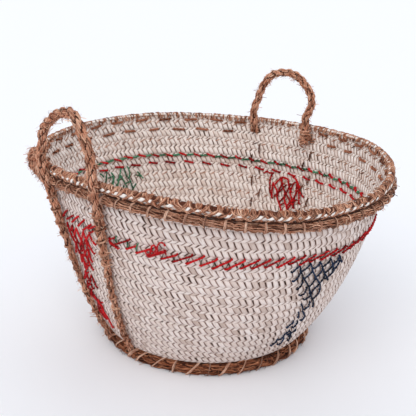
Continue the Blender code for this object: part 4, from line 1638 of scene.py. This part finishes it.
def base_ties():
    """Bundles of light strands that slant over the base rope."""
    chance = random.Random(17)
    reach = BASE_ROPE_RADIUS + BASE_TIE_LIFT
    sweep = BASE_TIE_TURNS[-1] - BASE_TIE_TURNS[0]
    turns = even_steps()
    points = [base_rope_point(turn) for turn in turns]
    lines = []
    for angle in spread_evenly(turns, points, BASE_TIE_COUNT)[:-1]:
        lean = chance.uniform(0.03, 0.15)
        start = angle + chance.uniform(-0.03, 0.03)
        for strand in range(chance.choice((1, 2, 3))):
            line = []
            for turn in BASE_TIE_TURNS:
                side = math.radians(turn)
                place = start + strand * BASE_TIE_STRAND_ANGLE + lean * turn / sweep
                line.append(base_rope_point(place, reach * math.cos(side), reach * math.sin(side)))
            lines.append(line)
    return lines


def arc_between(start, corner, end, radius, steps):
    """Points that round off the corner of a bent line."""
    back = (start - corner).normalized()
    ahead = (end - corner).normalized()
    half = back.angle(ahead) / 2
    inset = radius / math.tan(half)
    middle = corner + (back + ahead).normalized() * (radius / math.sin(half))
    first = corner + back * inset - middle
    last = corner + ahead * inset - middle
    sweep = first.angle(last)
    points = []
    for index in range(steps + 1):
        share = index / steps
        blend = first * math.sin((1 - share) * sweep) + last * math.sin(share * sweep)
        points.append(middle + blend / math.sin(sweep))
    return points


def leg_top(angles, out):
    return wall_point(leg_angle(angles, 1), 1, out)


def handle_frame(front_angles, back_angles, top_out, lean):
    """Hinge points, axis and upward direction of one handle."""
    front = leg_top(front_angles, top_out)
    back = leg_top(back_angles, top_out)
    line = front - back
    out = Vector((line.y, -line.x, 0)).normalized()
    if out.dot(front + back) < 0:
        out = -out
    tilt = math.radians(lean)
    up = Vector((0, 0, math.cos(tilt))) + out * math.sin(tilt)
    axis = line.normalized()
    up = (up - axis * up.dot(axis)).normalized()
    return front + up * HINGE_RISE, back + up * HINGE_RISE, axis, up


def leg_rises(last):
    rises = [LEG_FOOT_SHARE]
    steps = [step / LEG_STEPS for step in range(1, LEG_STEPS)]
    rises += [rise for rise in steps if rise < last - LEG_LAST_STEP_SHARE]
    rises.append(last)
    return rises


def left_leg_path(angles):
    """Line of a leg that climbs the outside and passes over the rim."""
    last = leg_rise(angles, BINDING_OUTER_DEPTH + 2 * HANDLE_RADIUS)
    path = [leg_point(angles, rise) for rise in leg_rises(last)]
    rise = leg_rise(angles, BINDING_OUTER_DEPTH)
    path.append(wall_point(leg_angle(angles, rise), rise, LEG_OVER_BINDING))
    path.append(leg_top(angles, LEG_OVER_BINDING))
    return path


def right_leg_path(angles, hinge):
    """Line of a leg that climbs the outside and goes in through the wall."""
    rise = leg_rise(angles, HOLE_DEPTH)
    angle = leg_angle(angles, rise)
    outer_corner = wall_point(angle, rise, LEG_OUT)
    inner_corner = wall_point(angle, rise, LEG_BEHIND_BINDING)
    last = leg_rise(angles, HOLE_DEPTH + 2 * ROPE_BEND)
    path = [leg_point(angles, share) for share in leg_rises(last)]
    path += arc_between(path[-1], outer_corner, inner_corner, ROPE_BEND, BEND_STEPS)
    path += arc_between(outer_corner, inner_corner, hinge, ROPE_BEND, BEND_STEPS)
    return path


def arch_path(hinges, rise, bends):
    front, back, axis, up = hinges
    middle = (front + back) / 2
    half = (front - back).length / 2
    return [middle + axis * half * along + up * rise * height for along, height in bends]


def leg_ties(angles):
    """Turns of twine over a leg, and the upright stitches they make inside."""
    chance = random.Random(round(angles[0]))
    lines = []
    stitches = []
    count = round((LEG_TIE_END - LEG_TIE_START) / LEG_TIE_PITCH)
    for index in range(count + 1):
        depth = LEG_TIE_START + LEG_TIE_PITCH * index + chance.uniform(-0.001, 0.001)
        angle = leg_at_depth(angles, depth)
        lean = chance.uniform(-0.0035, 0.0035)
        for shift in (-LEG_TIE_PAIR, LEG_TIE_PAIR):
            rise = rise_at(angle, depth + shift)
            out = leg_out(angle, rise)
            lines.append(over_rope(angle, rise, out, out - LAID + LEG_TIE_LIFT, True, lean))
        side = turn_angle(angle, depth, LEG_STITCH_SIDE if index % 2 else -LEG_STITCH_SIDE)
        length = LEG_TIE_PITCH * chance.uniform(0.8, 0.98)
        stitches.append(dash(side, side, depth, depth + length, LEG_STITCH_RADIUS))
    return lines, stitches


# Yarn


def pixel_of(place):
    """Where a place of the basket shows in the photo."""
    right, up, back = camera_axes()
    ahead = place - Vector(CAMERA_TARGET) - back * CAMERA_DISTANCE
    scale = CAMERA_LENS / SENSOR * PHOTO_SIDE / -ahead.dot(back)
    x = (0.5 - CAMERA_SHIFT[0]) * PHOTO_SIDE + ahead.dot(right) * scale
    y = (0.5 + CAMERA_SHIFT[1]) * PHOTO_SIDE - ahead.dot(up) * scale
    return Vector((x, y))


def yarn_lift(inside):
    """How far out of the wall's outer skin the yarn lies, on either face."""
    return -WALL - STITCH_LIFT if inside else STITCH_LIFT


@functools.cache
def seen_marks(inside):
    """Places spread over the face of the wall that the photo shows, with their pixels."""
    lift = yarn_lift(inside)
    eye = Vector(CAMERA_TARGET) + camera_axes()[2] * CAMERA_DISTANCE
    marks = []
    for degrees in range(-150, 210, 3):
        for hundredths in range(5, 98, 3):
            angle = math.radians(degrees)
            rise = hundredths / 100
            place = wall_point(angle, rise, lift)
            if slopes(angle, rise)[2].dot(eye - place) * lift > 0:
                marks.append((pixel_of(place), angle, rise))
    return marks


def place_at(pixel, inside):
    """Angle and depth of the place on the wall that shows at a pixel."""
    lift = yarn_lift(inside)
    aim = Vector(pixel)
    angle, rise = min(seen_marks(inside), key=lambda mark: (mark[0] - aim).length)[1:]
    for attempt in range(SEARCH_STEPS):
        here = pixel_of(wall_point(angle, rise, lift))
        aside = (pixel_of(wall_point(angle + SEARCH_STEP, rise, lift)) - here) / SEARCH_STEP
        above = (pixel_of(wall_point(angle, rise + SEARCH_STEP, lift)) - here) / SEARCH_STEP
        miss = aim - here
        area = aside.x * above.y - aside.y * above.x
        turn = (miss.x * above.y - miss.y * above.x) / area
        climb = (aside.x * miss.y - aside.y * miss.x) / area
        angle += max(-SEARCH_REACH, min(SEARCH_REACH, turn))
        rise += max(-SEARCH_REACH, min(SEARCH_REACH, climb))
    return angle, (1 - rise) * (lip_height(angle) - FOOT_HEIGHT)


def seen_places(stitches, inside):
    """Angles and depths of stitches that are given as pixels."""
    return [[place_at(pixel, inside) for pixel in stitch] for stitch in stitches]


def band_strokes(name, first, last):
    """Slanting strokes of the outer band, and the thin returns between them."""
    chance = random.Random(round(first * 100))
    measured = {"front": FRONT_STROKE_PIXELS, "left_handle": LEFT_STROKE_PIXELS}.get(name, ())
    marks = [(*start, *top) for start, top in seen_places(measured, False)]
    if measured:
        first = turn_angle(marks[-1][0], BAND_LOW_DEPTH, YARN_PITCH)
    end = turn_angle(last, BAND_LOW_DEPTH, -YARN_REACH)
    for angle in spaced_angles(first, end, BAND_LOW_DEPTH, YARN_PITCH):
        low = EVEN_STROKE_LOW + chance.uniform(-0.0010, 0.0010)
        high = EVEN_STROKE_HIGH + chance.uniform(-0.0010, 0.0010)
        top = turn_angle(angle, high, YARN_REACH + chance.uniform(-0.0015, 0.0010))
        marks.append((angle, low, top, high))
    strokes = []
    returns = []
    for index, (start, low, top, high) in enumerate(marks):
        strokes.append(straight_stitch(((start, low), (top, high)), YARN_RADIUS))
        if index:
            before = turn_angle(marks[index - 1][2], high, -0.0012)
            ends = ((before, marks[index - 1][3] + 0.0006), (start, low))
            returns.append(straight_stitch(ends, RETURN_YARN_RADIUS))
    return strokes, returns


def inner_band(depth, pitch, length, phase, slant):
    """Dashes of yarn all round the inside at one depth."""
    chance = random.Random(round(depth * 1e5) + round(phase * 10))
    lines = []
    for angle in spaced_angles(0.0, 2 * math.pi, depth, pitch)[:-1]:
        start = turn_angle(angle, depth, phase * pitch + chance.uniform(-0.0006, 0.0006))
        end = turn_angle(start, depth, length + chance.uniform(-0.001, 0.001))
        level = depth + chance.uniform(-0.0008, 0.0008)
        places = ((start, level + slant), (end, level - slant))
        lines.append(straight_stitch(places, INNER_YARN_RADIUS, inside=True))
    return lines


def stitched_lines(stitches, inside, radius):
    """Lines of yarn through the places that stitches show at, sunk in at both ends."""
    return [straight_stitch(places, radius, inside) for places in seen_places(stitches, inside)]


def knot_lines():
    """Wound strands with two small loops and a larger open one."""
    angle = math.radians(KNOT_ANGLE)
    rise = rise_at(angle, KNOT_DEPTH)
    along, up, out = slopes(angle, rise)
    middle = skin(angle, rise) + out * KNOT_LIFT

    def spot(x, y, z=0.0):
        return middle + along * x + up * (y + KNOT_SLANT * x) + out * z

    lines = []
    for reach, lift in KNOT_WINDINGS:
        ends = spot(-reach, -0.0085, 0.0002), spot(reach - 0.004, -0.0055, 0.0002)
        lines.append([ends[0], spot(-0.002, -0.0075 + lift, 0.0016), ends[1]])
    for x, y, wide, tall in KNOT_RINGS:
        ring = []
        for turn in ring_angles(12) + [2 * math.pi]:
            place = (x + wide * math.sin(turn), y - tall * math.cos(turn))
            ring.append(spot(*place, 0.0010 * math.sin(turn / 2)))
        lines.append(ring)
    lines.append([spot(x, y, 0.0012) for x, y in KNOT_LOOP])
    lines.append([spot(x, y, 0.0008) for x, y in KNOT_TAIL])
    return [smooth_path(line, 3) for line in lines]


# Stage


def camera_axes():
    """Directions to the camera's right, its top and its back."""
    azimuth = math.radians(CAMERA_AZIMUTH)
    elevation = math.radians(CAMERA_ELEVATION)
    level = math.cos(elevation)
    back = Vector((math.sin(azimuth) * level, -math.cos(azimuth) * level, math.sin(elevation)))
    right = Vector((math.cos(azimuth), math.sin(azimuth), 0))
    up = back.cross(right)
    roll = math.radians(CAMERA_ROLL)
    rolled_right = right * math.cos(roll) + up * math.sin(roll)
    return rolled_right, up * math.cos(roll) - right * math.sin(roll), back


def add_camera():
    right, up, back = camera_axes()
    data = bpy.data.cameras.new("Camera")
    data.sensor_fit = "HORIZONTAL"
    data.sensor_width = SENSOR
    data.lens = CAMERA_LENS
    data.shift_x, data.shift_y = CAMERA_SHIFT
    data.clip_start = 0.05
    data.clip_end = 50.0
    camera = add_object("Camera", data)
    turn = Matrix((right, up, back)).transposed().to_4x4()
    camera.matrix_world = Matrix.Translation(Vector(CAMERA_TARGET) + back * CAMERA_DISTANCE) @ turn
    bpy.context.scene.camera = camera


def add_floor(size):
    mesh = bpy.data.meshes.new("floor")
    half = size / 2
    corners = [(-half, -half, 0), (half, -half, 0), (half, half, 0), (-half, half, 0)]
    mesh.from_pydata(corners, [], [(0, 1, 2, 3)])
    material, tree, shader = new_material("Basket floor")
    shader.inputs["Base Color"].default_value = FLOOR_COLOUR
    shader.inputs["Roughness"].default_value = 0.9
    shader.inputs["Specular IOR Level"].default_value = 0.0
    mesh.materials.append(material)
    add_object("floor", mesh)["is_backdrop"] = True


def add_lamp(name, place, spread, power):
    """Broad soft daylight that comes from a place towards the origin."""
    data = bpy.data.lights.new(name, "SUN")
    data.angle = math.radians(spread)
    data.energy = power
    data.color = LAMP_COLOUR
    lamp = add_object(name, data)
    lamp.location = place
    lamp.rotation_euler = (-Vector(place)).to_track_quat("-Z", "Y").to_euler()


def set_world(strength):
    """Even daylight all round, and a white backdrop where it is seen past the floor."""
    world = bpy.data.worlds.new("Basket world")
    world.use_nodes = True
    tree = world.node_tree
    daylight = tree.nodes["Background"]
    daylight.inputs["Color"].default_value = DAYLIGHT_COLOUR
    daylight.inputs["Strength"].default_value = strength
    inputs = {"Color": BACKDROP_COLOUR, "Strength": 1.0}
    backdrop = result(tree, "ShaderNodeBackground", inputs)
    path = add_node(tree, "ShaderNodeLightPath", {}).outputs
    seen = calculate(tree, "MAXIMUM", path["Is Camera Ray"], path["Is Glossy Ray"])
    seen = calculate(tree, "MAXIMUM", seen, path["Is Transmission Ray"])
    both = result(tree, "ShaderNodeMixShader", {0: seen, 1: daylight.outputs[0], 2: backdrop})
    tree.links.new(both, tree.nodes["World Output"].inputs["Surface"])
    bpy.context.scene.world = world


# Settings


def length_setting(name, about, default):
    return FloatProperty(name=name, description=about, default=default, unit="LENGTH")


def number_setting(name, about, default):
    return FloatProperty(name=name, description=about, default=default)


def tone_settings():
    """A colour setting for each tone of each finish."""
    settings = {}
    for finish, (maker, *colours) in FINISHES.items():
        for tone, colour in zip(TONE_NAMES[maker], colours):
            settings[tone_key(finish, tone)] = FloatVectorProperty(
                name=finish + ", " + tone,
                description="The " + tone + " tone of the " + finish.lower(),
                default=colour,
                subtype="COLOR",
                min=0.0,
                max=1.0,
            )
    return settings


class BasketColourSettings(bpy.types.PropertyGroup):
    """Tones of the leaf, the coir, the twine and the yarn."""

    __annotations__ = tone_settings()


class BasketPlaitSettings(bpy.types.PropertyGroup):
    """Sizes of the leaf floats that make the plait."""

    row_pitch: length_setting("Row pitch", "Height of one row of the plait", 0.0125)
    column_pitch: length_setting("Column pitch", "Width of one column", 0.0072)
    long_share: number_setting("Long share", "Share of a row that the long floats fill", 0.64)
    long_width: length_setting("Long width", "Width of a long float", 0.0068)
    long_height: length_setting("Long height", "Height of a long float", 0.0092)
    long_lean: number_setting("Long lean", "Sideways shift of a long float for its height", -0.52)
    short_width: length_setting("Short width", "Width of a short float", 0.0066)
    short_height: length_setting("Short height", "Height of a short float", 0.0060)
    short_lean: number_setting("Short lean", "Sideways shift of a short float for its height", 1.15)
    thickness: length_setting("Thickness", "Thickness of the leaf", 0.0006)
    bulge: length_setting("Bulge", "How far a float bends in at its ends", 0.0009)
    long_sink: length_setting("Long sink", "Depth of a long float's middle", 0.0004)
    short_sink: length_setting("Short sink", "Depth of a short float's middle", 0.0009)
    seam_pitch: length_setting("Seam pitch", "Distance between the seams' stitches", 0.0145)


class BasketRopeSettings(bpy.types.PropertyGroup):
    """Lays and loose fibres of the ropes."""

    left_lay: length_setting("Left lay", "Length of one turn of the left handle's rope", 0.042)
    right_lay: length_setting("Right lay", "Length of one turn of the right handle's rope", 0.040)
    rim_lay: length_setting("Rim lay", "Length of one turn of the rim rope", 0.300)
    base_lay: length_setting("Base lay", "Length of one turn of the base rope", 0.090)
    fibres: number_setting("Fibres", "Loose fibres on each square metre of rope", 26000.0)
    wrap_pitch: length_setting("Wrap pitch", "Width of one zigzag of the lip binding", 0.0098)


class BasketYarnSettings(bpy.types.PropertyGroup):
    """Lays of the yarn and pitches of its dashes inside."""

    yarn_lay: length_setting("Yarn lay", "Length of one turn of the yarn", 0.007)
    inner_pitch: length_setting("Inner pitch", "Distance from one red dash to the next inside", 0.0215)
    lower_pitch: length_setting("Lower pitch", "Distance between dashes of the lower row", 0.028)


class BasketStageSettings(bpy.types.PropertyGroup):
    """Light and floor."""

    floor_size: length_setting("Floor size", "Side of the floor", 14.0)
    world_strength: number_setting("World strength", "Strength of the light all round", 0.825)
    lamp_spread: number_setting("Lamp spread", "Degrees of sky that each lamp fills", 50.0)
    front_power: number_setting("Front power", "Strength of the lamp in front", 0.95)
    back_power: number_setting("Back power", "Strength of the lamp behind", 0.22)


# Operators

# Yarn finishes that share the slot of another yarn
YARN_SLOTS = {"Dull yarn": "green_yarn"}


class BASKET_OT_wall(bpy.types.Operator):
    """Plaits the bowl's two faces over its dark core of painted shade and sews its seams"""

    bl_idname = "basket.wall"
    bl_label = "Plait the wall"

    def execute(self, context):
        plait = context.scene.basket_plait
        settle(bowl_gap_shade(), "palm_leaf", "plaited_wall")
        outer = wall_floats(plait, False).grow("outer_plait", plait, "Palm leaf")
        settle(outer, "palm_leaf", "plaited_wall")
        inner = wall_floats(plait, True).grow("inner_plait", plait, "Inner palm leaf")
        settle(inner, "palm_leaf", "plaited_wall")
        sew("seam_stitches", seam_stitches(plait), "seam", "plaited_wall")
        return {"FINISHED"}


class BASKET_OT_base(bpy.types.Operator):
    """Plaits the flat base inside the foot"""

    bl_idname = "basket.base"
    bl_label = "Plait the base"

    def execute(self, context):
        plait = context.scene.basket_plait
        core = base_gap_shade(BASE_TOP - BASE_CORE_LOW, BASE_TOP - BASE_CORE_HIGH)
        settle(core, "palm_leaf", "plaited_base")
        faces = (("base_plait_top", BASE_TOP_DEPTH, True), ("base_plait_under", BASE_UNDER_DEPTH, False))
        for name, depth, inside in faces:
            floats = base_floats(plait, BASE_TOP - depth, inside)
            settle(floats.grow(name, plait, "Inner palm leaf"), "palm_leaf", "plaited_base")
        return {"FINISHED"}


class BASKET_OT_lip(bpy.types.Operator):
    """Binds the lip with twine over a bundle of leaf"""

    bl_idname = "basket.lip"
    bl_label = "Bind the lip"

    def execute(self, context):
        pitch = context.scene.basket_rope.wrap_pitch
        bundle = lip_ring("lip_bundle", LIP_BUNDLE_SECTION, "Lip leaf")
        settle(bundle, "palm_leaf", "lip_binding")
        core = lip_ring("lip_core", LIP_CORE_SECTION, "Stitch twine")
        settle(core, "coir_twine", "lip_binding")
        ends = leaf_ends(pitch).grow("lip_leaf_ends", context.scene.basket_plait, "Lip leaf")
        settle(ends, "palm_leaf", "lip_binding")
        sew("lip_wraps", lip_wraps(pitch), "lip wrap", "lip_binding")
        return {"FINISHED"}


def lay_rim_rope(name, first, last, settings):
    """One length of the rim rope, its dark core and the dark strand above it: painted shade in the
    rope's crevices and painted shadow in the gap between binding and rope.
    """
    piece = "rim_rope_" + name
    path = rim_path(first, last)
    rope = loose_bundle(
        piece + "_strands", path, RIM_ROPE_RADIUS, 9, settings.rim_lay, "Rim coir",
        **{"Fibres per area": settings.fibres * 0.4, "Fibre length": RIM_FIBRE_LENGTH},
    )
    settle(rope, "coir_rope", piece)
    core = rope_shade_core(piece + "_core", path, RIM_ROPE_RADIUS * RIM_CORE_SHARE)
    settle(core, "coir_rope", piece)
    # Painted shadow in the gap between binding and rope.
    seam = rim_path(first, last, RIM_ROPE_DEPTH - RIM_ROPE_RADIUS, RIM_SHADE_STRAND_OUT)
    settle(rope_shade_core(piece + "_seam", seam, RIM_SHADE_STRAND_RADIUS), "coir_rope", piece)


class BASKET_OT_rim(bpy.types.Operator):
    """Lays the rim rope between the legs and ties it on"""

    bl_idname = "basket.rim"
    bl_label = "Lay the rim rope"

    def execute(self, context):
        settings = context.scene.basket_rope
        for name, first, last in stretches(RIM_ROPE_DEPTH, LEG_MARGIN):
            lay_rim_rope(name, first, last, settings)
        for name, first, last in stretches(RIM_ROPE_DEPTH, LEG_MARGIN + RIM_TIE_MARGIN):
            sew("rim_ties_" + name, rim_ties(first, last), "rim tie", "rim_twine_" + name)
        loose = {"Fibres per area": settings.fibres}
        sew("rim_lashing", rim_lashing(), "lashing", "rim_twine_back", **loose)
        sew("foot_turns", foot_turns(), "foot turn", "right_handle_front_twine", **loose)
        sew("inner_rim_dashes", inner_dashes(), "rim dash", "inner_rim_twine")
        return {"FINISHED"}


class BASKET_OT_base_rope(bpy.types.Operator):
    """Lays the dark rope round the foot and ties it on"""

    bl_idname = "basket.base_rope"
    bl_label = "Lay the base rope"

    def execute(self, context):
        settings = context.scene.basket_rope
        ring = [base_rope_point(angle) for angle in ring_angles(220)]
        ring.append(ring[0])
        rope = rope_strands(
            "base_rope_strands", ring, BASE_ROPE_RADIUS, 4, settings.base_lay, "Dark coir rope",
            Wobble=0.006, Step=0.0030,
            **{"Lowest point": 0.0, "Fibres per area": settings.fibres * 0.3},
        )
        # The dark core is painted shade in the rope's crevices.
        core = rope_shade_core("base_rope_core", ring, BASE_ROPE_RADIUS * ROPE_CORE_SHARE, lowest=0.0)
        settle(core, "dark_coir_rope", "base_rope")
        settle(rope, "dark_coir_rope", "base_rope")
        sew("base_ties", base_ties(), "base tie", "base_rope_twine")
        return {"FINISHED"}


def settle_handle(rope, side, hinges):
    """Hides a handle's parts in the model and bakes the rope's transform into its mesh. The hinges are
    not used.
    """
    front, back, axis, up = hinges
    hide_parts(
        side + "_handle_arch", side + "_handle_front_leg", side + "_handle_back_leg"
    )
    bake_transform(rope)


def hang_rope(side, path, lay, fibres, hinges):
    """A handle's whole rope and its dark core of painted shade for the crevices, which thin down the
    legs.
    """
    thinner = [slimming_at(point.z) for point in path]
    rope = rope_strands(
        side + "_handle_rope", path, HANDLE_RADIUS, 3, lay, "Coir rope",
        slimming=thinner, **{"Fibres per area": fibres},
    )
    settle_handle(rope, side, hinges)
    radius = HANDLE_RADIUS * ROPE_CORE_SHARE
    core = rope_shade_core(side + "_handle_core", path, radius, slimming=thinner)
    settle_handle(core, side, hinges)


def tie_legs(side, front_angles, back_angles):
    """Twine that sews both legs of a handle to the wall, outside and inside."""
    for name, angles in (("_handle_front", front_angles), ("_handle_back", back_angles)):
        leg = side + name
        turns, stitches = leg_ties(angles)
        sew(leg + "_stitches", stitches, "leg stitch", leg + "_twine")
        sew(leg + "_ties", turns, "leg tie", leg + "_twine")


class BASKET_OT_left_handle(bpy.types.Operator):
    """Lays the left handle's rope over the rim and ties its legs on"""

    bl_idname = "basket.left_handle"
    bl_label = "Hang the left handle"

    def execute(self, context):
        settings = context.scene.basket_rope
        legs = (LEFT_FRONT_ANGLES, LEFT_BACK_ANGLES)
        hinges = handle_frame(*legs, LEG_OVER_BINDING, LEFT_LEAN_ANGLE)
        path = left_leg_path(legs[0])
        path += arch_path(hinges, LEFT_ARCH_RISE, LEFT_ARCH_BENDS)
        path += reversed(left_leg_path(legs[1]))
        hang_rope("left", smooth_path(path, 6), settings.left_lay, settings.fibres, hinges)
        tie_legs("left", *legs)
        return {"FINISHED"}


class BASKET_OT_right_handle(bpy.types.Operator):
    """Leads the right handle's rope in through the wall and ties its legs on"""

    bl_idname = "basket.right_handle"
    bl_label = "Hang the right handle"

    def execute(self, context):
        settings = context.scene.basket_rope
        legs = (RIGHT_FRONT_ANGLES, RIGHT_BACK_ANGLES)
        hinges = handle_frame(*legs, LEG_BEHIND_BINDING, RIGHT_LEAN_ANGLE)
        path = right_leg_path(legs[0], hinges[0])
        path += arch_path(hinges, RIGHT_ARCH_RISE, RIGHT_ARCH_BENDS)
        path += reversed(right_leg_path(legs[1], hinges[1]))
        hang_rope("right", smooth_path(path, 6), settings.right_lay, settings.fibres, hinges)
        tie_legs("right", *legs)
        return {"FINISHED"}


def lay_yarn(name, lines, colour, radius, lay, node):
    """Two-ply yarn along lines: a slot name is made from its colour, but nothing uses it."""
    slot = YARN_SLOTS.get(colour, colour.lower().replace(" ", "_"))
    yarn = twist(name, lines, radius, colour, 2, lay, Step=0.0014)
    settle(yarn, slot, node)


class BASKET_OT_bands(bpy.types.Operator):
    """Sews the yarn bands round the outside and the inside"""

    bl_idname = "basket.bands"
    bl_label = "Sew the yarn bands"

    def execute(self, context):
        settings = context.scene.basket_yarn
        lay = settings.yarn_lay
        outer = "outer_band_yarn_"
        for name, first, last in stretches(BAND_LOW_DEPTH, LEG_MARGIN + 2 * YARN_RADIUS):
            red, dull = band_strokes(name, first, last)
            lay_yarn("outer_band_red_" + name, red, "Red yarn", YARN_RADIUS, lay, outer + name)
            if dull:
                piece = "outer_band_return_" + name
                lay_yarn(piece, dull, "Dull yarn", RETURN_YARN_RADIUS, lay, outer + name)
        tuft = stitched_lines(TUFT_PIXELS, False, YARN_RADIUS)
        lay_yarn("outer_band_tuft", tuft, "Red yarn", YARN_RADIUS, lay, outer + "front")
        green = stitched_lines(GREEN_RETURN_PIXELS, False, YARN_RADIUS)
        radius = YARN_RADIUS * GREEN_RETURN_SHARE
        lay_yarn("outer_band_green", green, "Green yarn", radius, lay, outer + "front")
        near = settings.inner_pitch
        wide = settings.lower_pitch
        rows = (
            ("upper", "green", BAND_HIGH_DEPTH, near, near * 0.50, 0.0, -0.0008),
            ("upper", "red", BAND_HIGH_DEPTH, near, near * 0.50, 0.5, 0.0016),
            ("lower", "red", BAND_LOW_DEPTH, wide, wide * 0.44, 0.25, 0.0010),
        )
        for level, colour, *row in rows:
            piece = "inner_band_" + level + "_" + colour
            finish = colour.capitalize() + " yarn"
            node = "inner_band_yarn_" + level
            lay_yarn(piece, inner_band(*row), finish, INNER_YARN_RADIUS, lay, node)
        return {"FINISHED"}


class BASKET_OT_knot(bpy.types.Operator):
    """Ties off the red yarn in a knot with two loops"""

    bl_idname = "basket.knot"
    bl_label = "Tie the yarn knot"

    def execute(self, context):
        lay = context.scene.basket_yarn.yarn_lay
        lay_yarn("red_knot", knot_lines(), "Red yarn", KNOT_YARN_RADIUS, lay, "red_yarn_knot")
        return {"FINISHED"}


class BASKET_OT_motifs(bpy.types.Operator):
    """Embroiders the four motifs below the bands"""

    bl_idname = "basket.motifs"
    bl_label = "Embroider the motifs"

    def execute(self, context):
        lay = context.scene.basket_yarn.yarn_lay
        motifs = (
            ("left_red_motif", LEFT_RED_PIXELS, False, "Red yarn", 1.10),
            ("right_red_motif", RIGHT_RED_PIXELS, True, "Red yarn", 1.25),
            ("navy_motif", NAVY_PIXELS, False, "Navy yarn", 1.0),
            ("green_motif", GREEN_PIXELS, True, "Green yarn", 1.0),
        )
        for name, stitches, inside, colour, share in motifs:
            radius = MOTIF_YARN_RADIUS * share
            lines = stitched_lines(stitches, inside, radius)
            lay_yarn(name + "_stitches", lines, colour, radius, lay, name)
        return {"FINISHED"}


class BASKET_OT_stage(bpy.types.Operator):
    """Sets up the floor, the light and the camera"""

    bl_idname = "basket.stage"
    bl_label = "Set the stage"

    def execute(self, context):
        settings = context.scene.basket_stage
        add_camera()
        add_floor(settings.floor_size)
        add_lamp("Front lamp", FRONT_LAMP_PLACE, settings.lamp_spread, settings.front_power)
        add_lamp("Back lamp", BACK_LAMP_PLACE, settings.lamp_spread, settings.back_power)
        set_world(settings.world_strength)
        context.scene.view_settings.view_transform = "Standard"
        return {"FINISHED"}


class BASKET_PT_panel(bpy.types.Panel):
    """Lists the steps that dress the basket"""

    bl_idname = "BASKET_PT_panel"
    bl_label = "Plaited basket"
    bl_space_type = "VIEW_3D"
    bl_region_type = "UI"
    bl_category = "Basket"

    def draw(self, context):
        for step in STEPS:
            self.layout.operator(step.bl_idname)


STEPS = (
    BASKET_OT_wall,
    BASKET_OT_base,
    BASKET_OT_lip,
    BASKET_OT_rim,
    BASKET_OT_base_rope,
    BASKET_OT_left_handle,
    BASKET_OT_right_handle,
    BASKET_OT_bands,
    BASKET_OT_knot,
    BASKET_OT_motifs,
    BASKET_OT_stage,
)
SETTINGS = (
    ("basket_colours", BasketColourSettings),
    ("basket_plait", BasketPlaitSettings),
    ("basket_rope", BasketRopeSettings),
    ("basket_yarn", BasketYarnSettings),
    ("basket_stage", BasketStageSettings),
)


def register():
    for name, group in SETTINGS:
        bpy.utils.register_class(group)
        setattr(bpy.types.Scene, name, PointerProperty(type=group))
    for step in STEPS:
        bpy.utils.register_class(step)
    bpy.utils.register_class(BASKET_PT_panel)


def unregister():
    bpy.utils.unregister_class(BASKET_PT_panel)
    for step in reversed(STEPS):
        bpy.utils.unregister_class(step)
    for name, group in reversed(SETTINGS):
        delattr(bpy.types.Scene, name)
        bpy.utils.unregister_class(group)


def corners():
    return [list(corner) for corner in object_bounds()]


def main():
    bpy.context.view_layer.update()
    register()
    bpy.ops.basket.wall()
    bpy.ops.basket.base()
    bpy.ops.basket.lip()
    bpy.ops.basket.rim()
    bpy.ops.basket.base_rope()
    bpy.ops.basket.left_handle()
    bpy.ops.basket.right_handle()
    bpy.ops.basket.bands()
    bpy.ops.basket.knot()
    bpy.ops.basket.motifs()
    bpy.ops.basket.stage()


if __name__ == "__main__":
    main()
